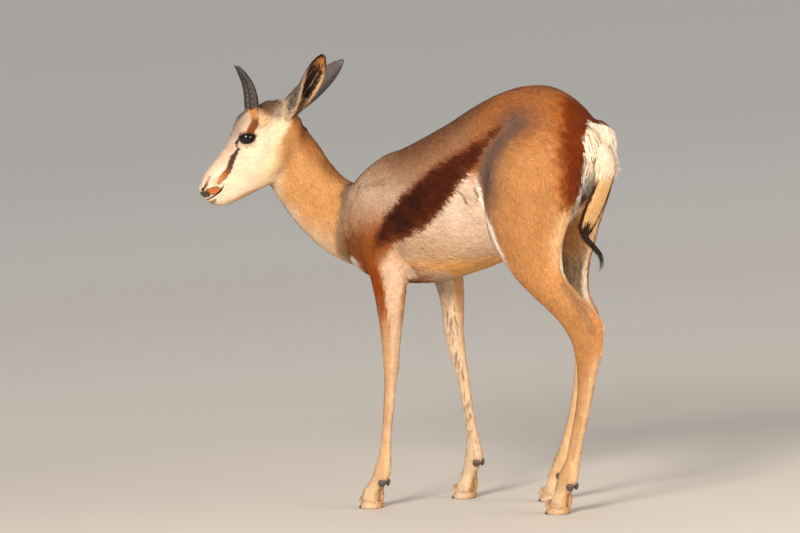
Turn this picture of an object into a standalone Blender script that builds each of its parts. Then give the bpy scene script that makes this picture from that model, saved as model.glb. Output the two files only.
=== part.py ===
# Springbok, young animal, standing with its head turned to its left.
#
# Metres, +Z up. The animal faces -Y, its left side is +X and it stands on
# the floor at z = 0. The flesh is lofted from ring sizes, merged into one
# closed surface and then cut into head, neck, torso and legs. Ears, eyes,
# horns, claws, dew claws and tail are pieces of their own, each let into
# its neighbour with a gap.

import math
import random

import bmesh
import bpy
import numpy as np
from mathutils import Matrix, Vector

GAP = 0.0003            # between neighbouring pieces
SEED = 11

VOXEL = 0.0042          # cell of the merged surface
SMOOTH_STEPS = 9
RING_POINTS = 32
LEG_POINTS = 24

# Trunk rings: y, top, bottom, half width, roundness, wider below (+)
TRUNK = (
    (-0.235, 0.555, 0.452, 0.036, 2.0, 0.00),
    (-0.207, 0.586, 0.431, 0.054, 2.1, 0.02),
    (-0.169, 0.617, 0.414, 0.066, 2.2, 0.08),
    (-0.129, 0.640, 0.405, 0.072, 2.2, 0.14),
    (-0.079, 0.654, 0.403, 0.078, 2.2, 0.16),
    (-0.019, 0.675, 0.405, 0.086, 2.2, 0.12),
    (0.052, 0.703, 0.420, 0.092, 2.2, 0.06),
    (0.112, 0.730, 0.436, 0.090, 2.2, 0.00),
    (0.167, 0.750, 0.458, 0.083, 2.2, -0.06),
    (0.222, 0.760, 0.484, 0.078, 2.2, -0.08),
    (0.272, 0.756, 0.512, 0.074, 2.2, -0.05),
    (0.316, 0.733, 0.540, 0.066, 2.2, 0.00),
    (0.350, 0.702, 0.571, 0.053, 2.1, 0.00),
    (0.380, 0.673, 0.600, 0.034, 2.0, 0.00),
)

# Neck rings: x, y, z, half depth, half width, turn of the ring in degrees
NECK = (
    (0.000, -0.109, 0.515, 0.085, 0.060, 0.0),
    (0.000, -0.179, 0.512, 0.084, 0.057, 0.0),
    (0.003, -0.237, 0.522, 0.074, 0.052, 4.0),
    (0.014, -0.280, 0.553, 0.065, 0.047, 16.0),
    (0.030, -0.309, 0.599, 0.060, 0.043, 34.0),
    (0.043, -0.327, 0.646, 0.057, 0.040, 48.0),
    (0.052, -0.335, 0.689, 0.044, 0.036, 56.0),
)

# The head's own frame: u runs from the poll to the nose, v from jaw to crown
HEAD_AT = (0.055, -0.3208, 0.7119)
HEAD_YAW = 56.0
HEAD_PITCH = 44.0

# Head rings: u, top v, bottom v, half width, roundness, wider above (+)
HEAD = (
    (-0.022, 0.026, -0.020, 0.022, 2.0, 0.00),
    (-0.008, 0.046, -0.040, 0.033, 2.1, 0.05),
    (0.012, 0.056, -0.055, 0.039, 2.2, 0.12),
    (0.034, 0.068, -0.062, 0.041, 2.3, 0.18),
    (0.056, 0.0715, -0.064, 0.0405, 2.3, 0.22),
    (0.076, 0.062, -0.064, 0.038, 2.3, 0.22),
    (0.100, 0.0555, -0.060, 0.033, 2.3, 0.14),
    (0.125, 0.0535, -0.050, 0.0270, 2.3, 0.06),
    (0.150, 0.0520, -0.0385, 0.0225, 2.3, 0.04),
    (0.172, 0.0500, -0.0290, 0.0205, 2.3, 0.04),
    (0.188, 0.0455, -0.0205, 0.0200, 2.3, 0.04),
    (0.199, 0.0395, -0.0115, 0.0178, 2.2, 0.04),
    (0.206, 0.0320, 0.0010, 0.0125, 2.1, 0.00),
)

# Leg rings, level: x, y, z, half depth, half width
FORE_LEFT = (
    (0.048, -0.116, 0.594, 0.0450, 0.0160),
    (0.052, -0.111, 0.539, 0.0620, 0.0250),
    (0.058, -0.098, 0.473, 0.0560, 0.0280),
    (0.064, -0.088, 0.423, 0.0410, 0.0270),
    (0.067, -0.086, 0.383, 0.0330, 0.0240),
    (0.069, -0.089, 0.323, 0.0230, 0.0190),
    (0.070, -0.092, 0.283, 0.0175, 0.0165),
    (0.070, -0.094, 0.259, 0.0155, 0.0158),
    (0.070, -0.100, 0.229, 0.0122, 0.0118),
    (0.070, -0.107, 0.194, 0.0125, 0.0100),
    (0.070, -0.120, 0.130, 0.0110, 0.0094),
    (0.070, -0.127, 0.097, 0.0142, 0.0104),
    (0.070, -0.133, 0.078, 0.0180, 0.0128),
    (0.070, -0.140, 0.060, 0.0205, 0.0130),
    (0.070, -0.149, 0.048, 0.0208, 0.0134),
    (0.070, -0.165, 0.037, 0.0212, 0.0140),
    (0.070, -0.170, 0.010, 0.0200, 0.0148),
)
FORE_RIGHT = (
    (-0.048, -0.108, 0.596, 0.0450, 0.0160),
    (-0.052, -0.098, 0.541, 0.0620, 0.0250),
    (-0.058, -0.082, 0.476, 0.0560, 0.0280),
    (-0.064, -0.066, 0.426, 0.0380, 0.0250),
    (-0.067, -0.058, 0.386, 0.0290, 0.0225),
    (-0.069, -0.058, 0.341, 0.0240, 0.0190),
    (-0.070, -0.061, 0.306, 0.0215, 0.0180),
    (-0.070, -0.057, 0.271, 0.0185, 0.0165),
    (-0.070, -0.050, 0.236, 0.0142, 0.0125),
    (-0.070, -0.044, 0.196, 0.0128, 0.0102),
    (-0.070, -0.038, 0.141, 0.0118, 0.0094),
    (-0.070, -0.035, 0.102, 0.0155, 0.0106),
    (-0.070, -0.035, 0.078, 0.0212, 0.0128),
    (-0.070, -0.041, 0.062, 0.0195, 0.0130),
    (-0.070, -0.049, 0.050, 0.0172, 0.0133),
    (-0.070, -0.057, 0.037, 0.0185, 0.0140),
    (-0.070, -0.067, 0.010, 0.0200, 0.0148),
)
HIND_LEFT = (
    (0.040, 0.264, 0.712, 0.0380, 0.0180),
    (0.048, 0.267, 0.680, 0.0780, 0.0330),
    (0.056, 0.274, 0.640, 0.1100, 0.0430),
    (0.062, 0.272, 0.600, 0.1110, 0.0470),
    (0.065, 0.266, 0.560, 0.1070, 0.0450),
    (0.067, 0.256, 0.521, 0.0940, 0.0410),
    (0.068, 0.253, 0.491, 0.0820, 0.0370),
    (0.068, 0.258, 0.461, 0.0690, 0.0330),
    (0.068, 0.271, 0.430, 0.0580, 0.0290),
    (0.068, 0.299, 0.399, 0.0540, 0.0250),
    (0.068, 0.336, 0.368, 0.0530, 0.0210),
    (0.068, 0.365, 0.339, 0.0500, 0.0185),
    (0.068, 0.373, 0.307, 0.0370, 0.0170),
    (0.068, 0.372, 0.277, 0.0290, 0.0155),
    (0.068, 0.366, 0.248, 0.0215, 0.0138),
    (0.068, 0.359, 0.218, 0.0175, 0.0125),
    (0.068, 0.347, 0.179, 0.0158, 0.0116),
    (0.068, 0.330, 0.130, 0.0152, 0.0112),
    (0.068, 0.318, 0.097, 0.0162, 0.0120),
    (0.068, 0.308, 0.077, 0.0208, 0.0138),
    (0.068, 0.303, 0.062, 0.0234, 0.0138),
    (0.068, 0.297, 0.051, 0.0226, 0.0138),
    (0.067, 0.284, 0.037, 0.0176, 0.0142),
    (0.067, 0.274, 0.010, 0.0205, 0.0150),
)
HIND_RIGHT = (
    (-0.040, 0.256, 0.712, 0.0380, 0.0180),
    (-0.050, 0.254, 0.680, 0.0780, 0.0330),
    (-0.057, 0.253, 0.644, 0.1040, 0.0420),
    (-0.062, 0.247, 0.604, 0.1030, 0.0450),
    (-0.065, 0.239, 0.565, 0.0990, 0.0440),
    (-0.066, 0.225, 0.525, 0.0920, 0.0410),
    (-0.066, 0.217, 0.496, 0.0860, 0.0370),
    (-0.066, 0.213, 0.466, 0.0780, 0.0330),
    (-0.066, 0.212, 0.436, 0.0670, 0.0290),
    (-0.065, 0.219, 0.406, 0.0540, 0.0250),
    (-0.065, 0.230, 0.376, 0.0440, 0.0210),
    (-0.065, 0.248, 0.347, 0.0420, 0.0185),
    (-0.065, 0.257, 0.318, 0.0370, 0.0170),
    (-0.065, 0.256, 0.285, 0.0290, 0.0155),
    (-0.065, 0.249, 0.255, 0.0215, 0.0138),
    (-0.065, 0.241, 0.226, 0.0175, 0.0125),
    (-0.065, 0.229, 0.187, 0.0158, 0.0116),
    (-0.065, 0.209, 0.138, 0.0152, 0.0112),
    (-0.065, 0.195, 0.104, 0.0158, 0.0118),
    (-0.065, 0.183, 0.080, 0.0205, 0.0138),
    (-0.065, 0.174, 0.061, 0.0215, 0.0138),
    (-0.065, 0.166, 0.050, 0.0200, 0.0138),
    (-0.065, 0.156, 0.037, 0.0172, 0.0142),
    (-0.065, 0.148, 0.010, 0.0205, 0.0150),
)

# Feet: name, x, y of the hoof's middle, y and z of the dew claws
FEET = (
    ("fl", 0.070, -0.173, -0.1328, 0.0465),
    ("fr", -0.070, -0.070, -0.0242, 0.066),
    ("hl", 0.067, 0.270, 0.3130, 0.0490),
    ("hr", -0.065, 0.143, 0.1775, 0.0470),
)
HOOF_LENGTH = 0.052
HOOF_WIDTH = 0.0165
HOOF_SPLIT = 0.0016
HOOF_LEAN = 0.14
CLAW_POINTS = 20
CLAW_ROUND = 0.8
CLAW_TAPER_FROM = 1.15
CLAW_TAPER_OVER = 1.3
CLAW_RINGS = ((0.0, 1.0), (0.5, 0.93), (1.0, 0.80))
CORONET_FRONT = 0.022
CORONET_FALL = 0.20
# Dew claw: length, half width, half thickness, distance from the leg's
# middle, way it hangs and degrees it is turned from the rear to the side
DEW_LENGTH = 0.0120
DEW_WIDE = 0.0074
DEW_THICK = 0.0044
DEW_APART = 0.0085
DEW_HANGS = (0.05, -0.25, -0.97)
DEW_TURN = 40.0
DEW_RINGS = ((0.0, 0.70), (0.30, 1.0), (0.75, 0.88), (1.0, 0.45))
DEW_POINTS = 8

EYE_RADIUS = 0.0165
EYE_AT = (0.0735, 0.0375, 0.0245)
EYE_OPEN = (0.0148, 0.0086)
EYE_LEAN = 33.0
LID = 0.0022

COLOURS = {
    "fawn": (0.47, 0.25, 0.11, 1.0),
    "horn": (0.030, 0.024, 0.020, 1.0),
    "eye": (0.012, 0.009, 0.008, 1.0),
    "claw": (0.045, 0.038, 0.034, 1.0),
    "tuft": (0.040, 0.026, 0.020, 1.0),
    "ear": (0.36, 0.27, 0.20, 1.0),
}
ROUGHNESS = {"fawn": 0.85, "horn": 0.45, "eye": 0.05, "claw": 0.45,
             "tuft": 0.75, "ear": 0.85}


def clear_scene():
    for item in list(bpy.data.objects):
        bpy.data.objects.remove(item, do_unlink=True)


def collection(name, hidden=False):
    made = bpy.data.collections.new(name)
    bpy.context.scene.collection.children.link(made)
    made.hide_render = hidden
    return made


def material(kind):
    """One Principled material of the named colour."""
    made = bpy.data.materials.new(kind)
    made.use_nodes = True
    shader = made.node_tree.nodes["Principled BSDF"]
    shader.inputs["Base Color"].default_value = COLOURS[kind]
    shader.inputs["Roughness"].default_value = ROUGHNESS[kind]
    shader.inputs["Metallic"].default_value = 0.0
    return made


def add_mesh(name, points, faces, group):
    mesh = bpy.data.meshes.new(name)
    mesh.from_pydata([tuple(p) for p in points], [], faces)
    mesh.update()
    made = bpy.data.objects.new(name, mesh)
    group.objects.link(made)
    return made


def smooth_rows(rows, steps):
    """Rows of ring sizes filled in along a cubic through them, spaced by
    the distance between rows."""
    table = np.array(rows, dtype=float)
    gaps = np.linalg.norm(np.diff(table[:, :3], axis=0), axis=1)
    at = np.concatenate(([0.0], np.cumsum(gaps)))
    slope = np.gradient(table, at, axis=0)
    out = []
    for k in range(len(table) - 1):
        span = at[k + 1] - at[k]
        for s in np.linspace(0.0, 1.0, steps, endpoint=False):
            h00 = 2 * s**3 - 3 * s**2 + 1
            h10 = s**3 - 2 * s**2 + s
            h01 = -2 * s**3 + 3 * s**2
            h11 = s**3 - s**2
            out.append(h00 * table[k] + h10 * span * slope[k]
                       + h01 * table[k + 1] + h11 * span * slope[k + 1])
    out.append(table[-1])
    return np.array(out)


def ring(centre, deep, wide, half_deep, half_wide, power, skew, count):
    """Superellipse in the plane of the unit vectors deep and wide. The
    half width grows by skew from the low side to the high side of deep."""
    turn = np.linspace(0.0, 2 * math.pi, count, endpoint=False)
    c = np.cos(turn)
    s = np.sin(turn)
    a = np.sign(s) * np.abs(s) ** (2.0 / power)
    b = np.sign(c) * np.abs(c) ** (2.0 / power) * (1.0 + skew * a)
    return (np.asarray(centre) + np.outer(a * half_deep, deep)
            + np.outer(b * half_wide, wide))


def loft(name, rings, group):
    """A closed body through rings of equal point counts, with flat ends."""
    rings = [np.asarray(r) for r in rings]
    count = len(rings[0])
    points = np.concatenate(rings)
    faces = []
    for k in range(len(rings) - 1):
        for i in range(count):
            j = (i + 1) % count
            faces.append((k * count + i, k * count + j,
                          (k + 1) * count + j, (k + 1) * count + i))
    faces.append(tuple(range(count))[::-1])
    last = (len(rings) - 1) * count
    faces.append(tuple(range(last, last + count)))
    made = add_mesh(name, points, faces, group)
    face_out(made)
    return made


def face_out(item):
    """Faces of a closed body turned to point out."""
    work = bmesh.new()
    work.from_mesh(item.data)
    bmesh.ops.recalc_face_normals(work, faces=work.faces[:])
    if work.calc_volume(signed=True) < 0.0:
        bmesh.ops.reverse_faces(work, faces=work.faces[:])
    work.to_mesh(item.data)
    work.free()


def apply_modifiers(item):
    """The object's evaluated shape becomes its mesh."""
    graph = bpy.context.evaluated_depsgraph_get()
    graph.update()
    mesh = bpy.data.meshes.new_from_object(item.evaluated_get(graph))
    item.modifiers.clear()
    old = item.data
    item.data = mesh
    bpy.data.meshes.remove(old)


def join(name, items, group):
    """Copies of several bodies in one mesh, not yet fused."""
    work = bmesh.new()
    for item in items:
        start = len(work.verts)
        work.from_mesh(item.data)
        work.verts.ensure_lookup_table()
        bmesh.ops.transform(work, matrix=item.matrix_world,
                            verts=work.verts[start:])
    mesh = bpy.data.meshes.new(name)
    work.to_mesh(mesh)
    work.free()
    made = bpy.data.objects.new(name, mesh)
    group.objects.link(made)
    return made


def boolean(item, other, operation, solver="MANIFOLD"):
    cut = item.modifiers.new("cut", "BOOLEAN")
    cut.object = other
    cut.operation = operation
    cut.solver = solver
    apply_modifiers(item)


def copy_of(item, name, group):
    made = bpy.data.objects.new(name, item.data.copy())
    made.matrix_world = item.matrix_world
    group.objects.link(made)
    return made


def box(name, centre, size, rotation, group):
    """A cutter: a cube of the given size, turned by a 3 x 3 rotation."""
    work = bmesh.new()
    bmesh.ops.create_cube(work, size=1.0)
    place = Matrix.Translation(Vector(centre)) @ rotation.to_4x4()
    bmesh.ops.scale(work, vec=Vector(size), verts=work.verts[:])
    bmesh.ops.transform(work, matrix=place, verts=work.verts[:])
    mesh = bpy.data.meshes.new(name)
    work.to_mesh(mesh)
    work.free()
    made = bpy.data.objects.new(name, mesh)
    made.display_type = "WIRE"
    made.hide_render = True
    group.objects.link(made)
    return made


def keep_largest(item):
    """Only the largest closed surface stays."""
    work = bmesh.new()
    work.from_mesh(item.data)
    todo = set(work.verts)
    parts = []
    while todo:
        stack = [todo.pop()]
        part = [stack[0]]
        while stack:
            for edge in stack.pop().link_edges:
                for vert in edge.verts:
                    if vert in todo:
                        todo.remove(vert)
                        stack.append(vert)
                        part.append(vert)
        parts.append(part)
    parts.sort(key=len)
    for part in parts[:-1]:
        bmesh.ops.delete(work, geom=part, context="VERTS")
    work.to_mesh(item.data)
    work.free()


def thin_out(item, ratio):
    less = item.modifiers.new("less", "DECIMATE")
    less.ratio = ratio
    apply_modifiers(item)


def seat(host, guest, group, clear=GAP * 1.3):
    """A pocket in the host that clears the guest."""
    tool = copy_of(guest, "pocket", group)
    tool.display_type = "WIRE"
    tool.hide_render = True
    grow = tool.modifiers.new("grow", "DISPLACE")
    grow.strength = clear
    grow.mid_level = 0.0
    apply_modifiers(tool)
    boolean(host, tool, "DIFFERENCE")
    bpy.data.objects.remove(tool, do_unlink=True)


def head_axes():
    """Unit vectors u (to the nose), v (to the crown) and s (to the left)."""
    yaw = math.radians(HEAD_YAW)
    pitch = math.radians(HEAD_PITCH)
    ahead = np.array([math.sin(yaw), -math.cos(yaw), 0.0])
    up = np.array([0.0, 0.0, 1.0])
    u = ahead * math.cos(pitch) - up * math.sin(pitch)
    v = ahead * math.sin(pitch) + up * math.cos(pitch)
    s = np.array([math.cos(yaw), math.sin(yaw), 0.0])
    return u, v, s


def head_point(u, v, s):
    axes = head_axes()
    return np.array(HEAD_AT) + u * axes[0] + v * axes[1] + s * axes[2]


def trunk(group):
    rows = [(0.0, y, (top + low) / 2, (top - low) / 2, wide, power, -skew)
            for y, top, low, wide, power, skew in TRUNK]
    rings = [ring(r[:3], (0, 0, 1), (1, 0, 0), r[3], r[4], r[5], r[6], RING_POINTS)
             for r in smooth_rows(rows, 4)]
    return loft("trunk", rings, group)


def neck(group):
    rows = smooth_rows(NECK, 4)
    path = rows[:, :3]
    ahead = np.gradient(path, axis=0)
    rings = []
    for row, along in zip(rows, ahead):
        along = along / np.linalg.norm(along)
        turn = math.radians(row[5])
        wide = np.array([math.cos(turn), math.sin(turn), 0.0])
        wide = wide - along * wide.dot(along)
        wide = wide / np.linalg.norm(wide)
        deep = np.cross(wide, along)
        rings.append(ring(row[:3], deep, wide, row[3], row[4], 2.1, 0.0, RING_POINTS))
    return loft("neck form", rings, group)


def head(group):
    u, v, s = head_axes()
    rows = [(r[0], (r[1] + r[2]) / 2, 0.0, (r[1] - r[2]) / 2, r[3], r[4], r[5])
            for r in HEAD]
    rings = []
    for row in smooth_rows(rows, 4):
        centre = head_point(row[0], row[1], 0.0)
        rings.append(ring(centre, v, s, row[3], row[4], row[5], row[6], RING_POINTS))
    return loft("head form", rings, group)


def head_lump(name, at, size, group):
    """An ellipsoid in the head's frame, such as a brow."""
    u, v, s = head_axes()
    work = bmesh.new()
    bmesh.ops.create_uvsphere(work, u_segments=16, v_segments=10, radius=1.0)
    frame = Matrix((u * size[0], v * size[1], s * size[2])).transposed().to_4x4()
    place = Matrix.Translation(Vector(head_point(*at))) @ frame
    bmesh.ops.transform(work, matrix=place, verts=work.verts[:])
    mesh = bpy.data.meshes.new(name)
    work.to_mesh(mesh)
    work.free()
    made = bpy.data.objects.new(name, mesh)
    group.objects.link(made)
    face_out(made)
    return made


def leg(name, rows, group):
    """Level rings, so each one is the leg's outline at its height."""
    rings = [ring(r[:3], (0, 1, 0), (1, 0, 0), r[3], r[4], 2.1, 0.0, LEG_POINTS)
             for r in smooth_rows(rows, 4)]
    return loft(name, rings, group)


def lump(name, at, size, rotation, group):
    """An ellipsoid of flesh, such as the shoulder."""
    work = bmesh.new()
    bmesh.ops.create_uvsphere(work, u_segments=20, v_segments=12, radius=1.0)
    bmesh.ops.scale(work, vec=Vector(size), verts=work.verts[:])
    turn = Matrix.Rotation(math.radians(rotation), 4, "X")
    place = Matrix.Translation(Vector(at)) @ turn
    bmesh.ops.transform(work, matrix=place, verts=work.verts[:])
    mesh = bpy.data.meshes.new(name)
    work.to_mesh(mesh)
    work.free()
    made = bpy.data.objects.new(name, mesh)
    group.objects.link(made)
    return made


def flesh(group):
    """All flesh forms merged into one smooth closed surface."""
    forms = [trunk(group), neck(group), head(group),
             leg("form fl", FORE_LEFT, group), leg("form fr", FORE_RIGHT, group),
             leg("form hl", HIND_LEFT, group), leg("form hr", HIND_RIGHT, group)]
    for side in (1, -1):
        forms.append(head_lump("brow", (0.060, 0.052, side * 0.026),
                               (0.020, 0.014, 0.014), group))
        forms.append(head_lump("orbit", (0.0735, 0.0375, side * 0.0245),
                               (0.022, 0.019, 0.0165), group))
        forms.append(head_lump("cheek", (0.062, -0.022, side * 0.016),
                               (0.050, 0.034, 0.022), group))
        forms.append(head_lump("ear root", (-0.008, 0.018, side * 0.030),
                               (0.022, 0.019, 0.015), group))
        forms.append(lump("haunch", (side * 0.024, 0.346, 0.654),
                          (0.029, 0.044, 0.043), 0.0, group))
        forms.append(lump("shoulder", (side * 0.046, -0.148, 0.515),
                          (0.027, 0.038, 0.066), 18.0, group))
    whole = join("flesh", forms, group)
    for form in forms:
        bpy.data.objects.remove(form, do_unlink=True)
    cells = whole.modifiers.new("cells", "REMESH")
    cells.mode = "VOXEL"
    cells.voxel_size = VOXEL
    cells.adaptivity = 0.0
    soft = whole.modifiers.new("soft", "SMOOTH")
    soft.factor = 0.5
    soft.iterations = SMOOTH_STEPS
    apply_modifiers(whole)
    keep_largest(whole)
    return whole


def axes_matrix(x, y, z, origin):
    place = Matrix((Vector(x), Vector(y), Vector(z))).transposed().to_4x4()
    place.translation = Vector(origin)
    return place


def eye(name, side, group):
    """The eyeball, a sphere in its socket."""
    work = bmesh.new()
    bmesh.ops.create_uvsphere(work, u_segments=16, v_segments=10, radius=EYE_RADIUS)
    u, v, s = head_axes()
    at = head_point(EYE_AT[0], EYE_AT[1], side * EYE_AT[2])
    bmesh.ops.transform(work, matrix=axes_matrix(u, v, s, at), verts=work.verts[:])
    mesh = bpy.data.meshes.new(name)
    work.to_mesh(mesh)
    work.free()
    made = bpy.data.objects.new(name, mesh)
    group.objects.link(made)
    face_out(made)
    return made


def lids(host, side, group, cutters):
    """A shell over the eyeball, joined to the head, with an almond opening
    that looks out to the side and a little ahead."""
    u, v, s = head_axes()
    at = (EYE_AT[0], EYE_AT[1], side * EYE_AT[2])
    work = bmesh.new()
    bmesh.ops.create_uvsphere(work, u_segments=24, v_segments=16,
                              radius=EYE_RADIUS + LID)
    bmesh.ops.transform(work, matrix=axes_matrix(u, v, s, head_point(*at)),
                        verts=work.verts[:])
    mesh = bpy.data.meshes.new("lid")
    work.to_mesh(mesh)
    work.free()
    shell = bpy.data.objects.new("lid", mesh)
    cutters.objects.link(shell)
    face_out(shell)
    boolean(host, shell, "UNION")
    bpy.data.objects.remove(shell, do_unlink=True)
    look = side * s + 0.16 * u + 0.02 * v
    look = look / np.linalg.norm(look)
    lean = math.radians(EYE_LEAN)
    along = u * math.cos(lean) + v * math.sin(lean)
    along = along - look * along.dot(look)
    along = along / np.linalg.norm(along)
    across = np.cross(look, along)
    base = head_point(*at)
    rings = []
    for far in (0.004, 0.012, 0.030):
        turn = np.linspace(0.0, 2 * math.pi, 24, endpoint=False)
        a = np.cos(turn)
        b = np.sign(np.sin(turn)) * np.abs(np.sin(turn)) ** 1.25
        flare = 1.0 + 8.0 * max(0.0, far - 0.012)
        rings.append(base + look * far + np.outer(a * EYE_OPEN[0] * flare, along)
                     + np.outer(b * EYE_OPEN[1] * flare, across))
    opening = loft("opening", rings, cutters)
    boolean(host, opening, "DIFFERENCE")
    bpy.data.objects.remove(opening, do_unlink=True)


# Horn rings in the head's frame: u, v, s, half depth, half width
HORN = (
    (0.0310, 0.0470, 0.0190, 0.0096, 0.0084),
    (0.0235, 0.0620, 0.0192, 0.0096, 0.0084),
    (0.0085, 0.0785, 0.0198, 0.0084, 0.0074),
    (-0.0035, 0.0965, 0.0198, 0.0066, 0.0058),
    (-0.0105, 0.1145, 0.0180, 0.0045, 0.0040),
    (-0.0140, 0.1280, 0.0150, 0.0025, 0.0023),
    (-0.0148, 0.1355, 0.0125, 0.0009, 0.0009),
)
HORN_RIDGES = 7


def horn(name, side, group):
    """A tapered horn with raised rings on its lower half, hooked ahead."""
    u, v, s = head_axes()
    rows = smooth_rows(HORN, 4)
    path = np.array([head_point(r[0], r[1], side * r[2]) for r in rows])
    ahead = np.gradient(path, axis=0)
    rings = []
    last = len(rows) - 1
    for k, (row, along) in enumerate(zip(rows, ahead)):
        along = along / np.linalg.norm(along)
        wide = s - along * s.dot(along)
        wide = wide / np.linalg.norm(wide)
        deep = np.cross(wide, along)
        part = k / last
        fade = max(0.0, 1.0 - part * 1.5)
        swell = 1.0 + 0.07 * fade * math.cos(part * HORN_RIDGES * 2 * math.pi / 0.66)
        rings.append(ring(path[k], deep, wide, row[3] * swell, row[4] * swell,
                          2.0, 0.0, 10))
    return loft(name, rings, group)


# Ears: base, middle and tip in the head's frame, way the cup opens at the
# root and at the tip, how far the root curls round, side
EARS = (
    ("ear_left", (0.006, 0.013, 0.023), (-0.066, 0.0225, 0.056),
     (-0.125, 0.0385, 0.073), (-0.10, -1.10, 0.80), (-0.10, -0.35, 1.0), 105.0, 1.0),
    ("ear_right", (-0.006, 0.007, -0.022), (-0.088, -0.0120, -0.044),
     (-0.159, -0.0215, -0.053), (0.05, -0.20, -1.0), (0.05, 0.40, -1.0), 62.0, -1.0),
)
EAR_HALF = 0.039
EAR_THICK = 0.0026
EAR_CLEAR = 0.0012
EAR_ROWS = 13
EAR_POINTS = 11


def ear(name, base, middle, tip, root_opens, tip_opens, curl, side, group):
    """A cupped leaf along a bowed line: across the ear the skin is an arc,
    nearly a tube at the root and shallow at the tip."""
    start, halfway, end = head_point(*base), head_point(*middle), head_point(*tip)
    u, v, s = head_axes()
    bow = 4.0 * halfway - 3.0 * start - end
    turn = 2.0 * start + 2.0 * end - 4.0 * halfway
    points = []
    for k in range(EAR_ROWS):
        f = k / (EAR_ROWS - 1)
        along = bow + turn * 2.0 * f
        along = along / np.linalg.norm(along)
        mix = min(1.0, f * 1.5)
        opens = [a + (b - a) * mix for a, b in zip(root_opens, tip_opens)]
        front = opens[0] * u + opens[1] * v + opens[2] * s
        front = front - along * front.dot(along)
        front = front / np.linalg.norm(front)
        wide = np.cross(along, front) * side
        half = EAR_HALF * (0.70 + 0.75 * f - 0.50 * f**2) * (1.0 - f**3.4) ** 0.62
        half = max(half, 0.0022)
        angle = math.radians(curl * (1 - f) ** 1.6 + 60.0)
        radius = half / angle
        centre = start + bow * f + turn * f**2
        for t in np.linspace(-1.0, 1.0, EAR_POINTS):
            a = t * angle
            points.append(centre + wide * radius * math.sin(a)
                          - front * radius * (math.cos(a) - 0.5))
    faces = []
    for k in range(EAR_ROWS - 1):
        for i in range(EAR_POINTS - 1):
            a = k * EAR_POINTS + i
            faces.append((a, a + 1, a + EAR_POINTS + 1, a + EAR_POINTS))
    made = add_mesh(name, points, faces, group)
    skin = made.modifiers.new("skin", "SOLIDIFY")
    skin.thickness = EAR_THICK
    skin.offset = 0.0
    apply_modifiers(made)
    face_out(made)
    return made


def coronet(y, middle):
    """Height of the hoof's upper edge, lower toward the heel."""
    return CORONET_FRONT - (y - middle + HOOF_LENGTH / 2) * CORONET_FALL


def claw(name, x, y, side, group):
    """One half of a hoof: flat inside and below, pointed in front."""
    turn = np.linspace(0.0, 2 * math.pi, CLAW_POINTS, endpoint=False)
    along = -np.cos(turn)
    out = np.clip(np.sin(turn), 0.0, 1.0) ** CLAW_ROUND
    taper = 0.5 + 0.5 * np.clip((along + CLAW_TAPER_FROM) / CLAW_TAPER_OVER, 0.0, 1.0)
    rings = []
    for part, grow in CLAW_RINGS:
        px = x + side * (HOOF_SPLIT / 2 + HOOF_WIDTH * out * taper * grow)
        py = y + HOOF_LENGTH * (along * grow / 2 + HOOF_LEAN * part)
        pz = part * coronet(py, y)
        rings.append(np.stack([px, py, pz], axis=1))
    return loft(name, rings, group)


def dew_claw(name, x, y, z, side, group):
    """A flat blunt nub behind the fetlock, lying close along the leg."""
    aim = np.array(DEW_HANGS) * (side, 1.0, 1.0)
    aim = aim / np.linalg.norm(aim)
    turn = math.radians(DEW_TURN)
    out = np.array([side * math.sin(turn), math.cos(turn), 0.0])
    wide = np.cross(aim, out)
    wide = wide / np.linalg.norm(wide)
    deep = np.cross(wide, aim)
    rings = []
    for part, size in DEW_RINGS:
        at = np.array([x, y, z]) + aim * DEW_LENGTH * (part - 0.5)
        rings.append(ring(at, deep, wide, DEW_THICK * size, DEW_WIDE * size,
                          2.0, 0.0, DEW_POINTS))
    return loft(name, rings, group)


def lock(name, path, width, thick, flat, group):
    """A flat tapered lock of hair along a bending path."""
    path = np.array(path)
    ahead = np.gradient(path, axis=0)
    rings = []
    last = len(path) - 1
    for k in range(last + 1):
        along = ahead[k] / np.linalg.norm(ahead[k])
        wide = flat - along * np.dot(flat, along)
        wide = wide / np.linalg.norm(wide)
        deep = np.cross(wide, along)
        size = (1.0 - (k / last) ** 1.6) * 0.92 + 0.08
        rings.append(ring(path[k], deep, wide, thick * size, width * size,
                          2.0, 0.0, 4))
    return loft(name, rings, group)


# Tail rings: x, y, z, half depth, half width
TAIL = (
    (0.000, 0.362, 0.656, 0.0090, 0.0150),
    (0.000, 0.384, 0.640, 0.0085, 0.0180),
    (0.000, 0.390, 0.615, 0.0076, 0.0205),
    (0.001, 0.384, 0.588, 0.0068, 0.0222),
    (0.003, 0.371, 0.561, 0.0062, 0.0238),
    (0.005, 0.357, 0.536, 0.0056, 0.0240),
    (0.006, 0.345, 0.515, 0.0046, 0.0200),
    (0.007, 0.338, 0.500, 0.0030, 0.0100),
)
# The tuft's middle line, from the end of the dock
TUFT = (
    (0.010, 0.350, 0.522),
    (0.010, 0.341, 0.503),
    (0.008, 0.340, 0.486),
    (0.004, 0.352, 0.471),
    (0.001, 0.363, 0.454),
    (0.000, 0.363, 0.436),
    (0.001, 0.357, 0.424),
)
TUFT_LOCKS = 9
LOCK_TURN = 56.0        # each lock is turned this much more than the last
SIDE_LOCKS = 5


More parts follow.
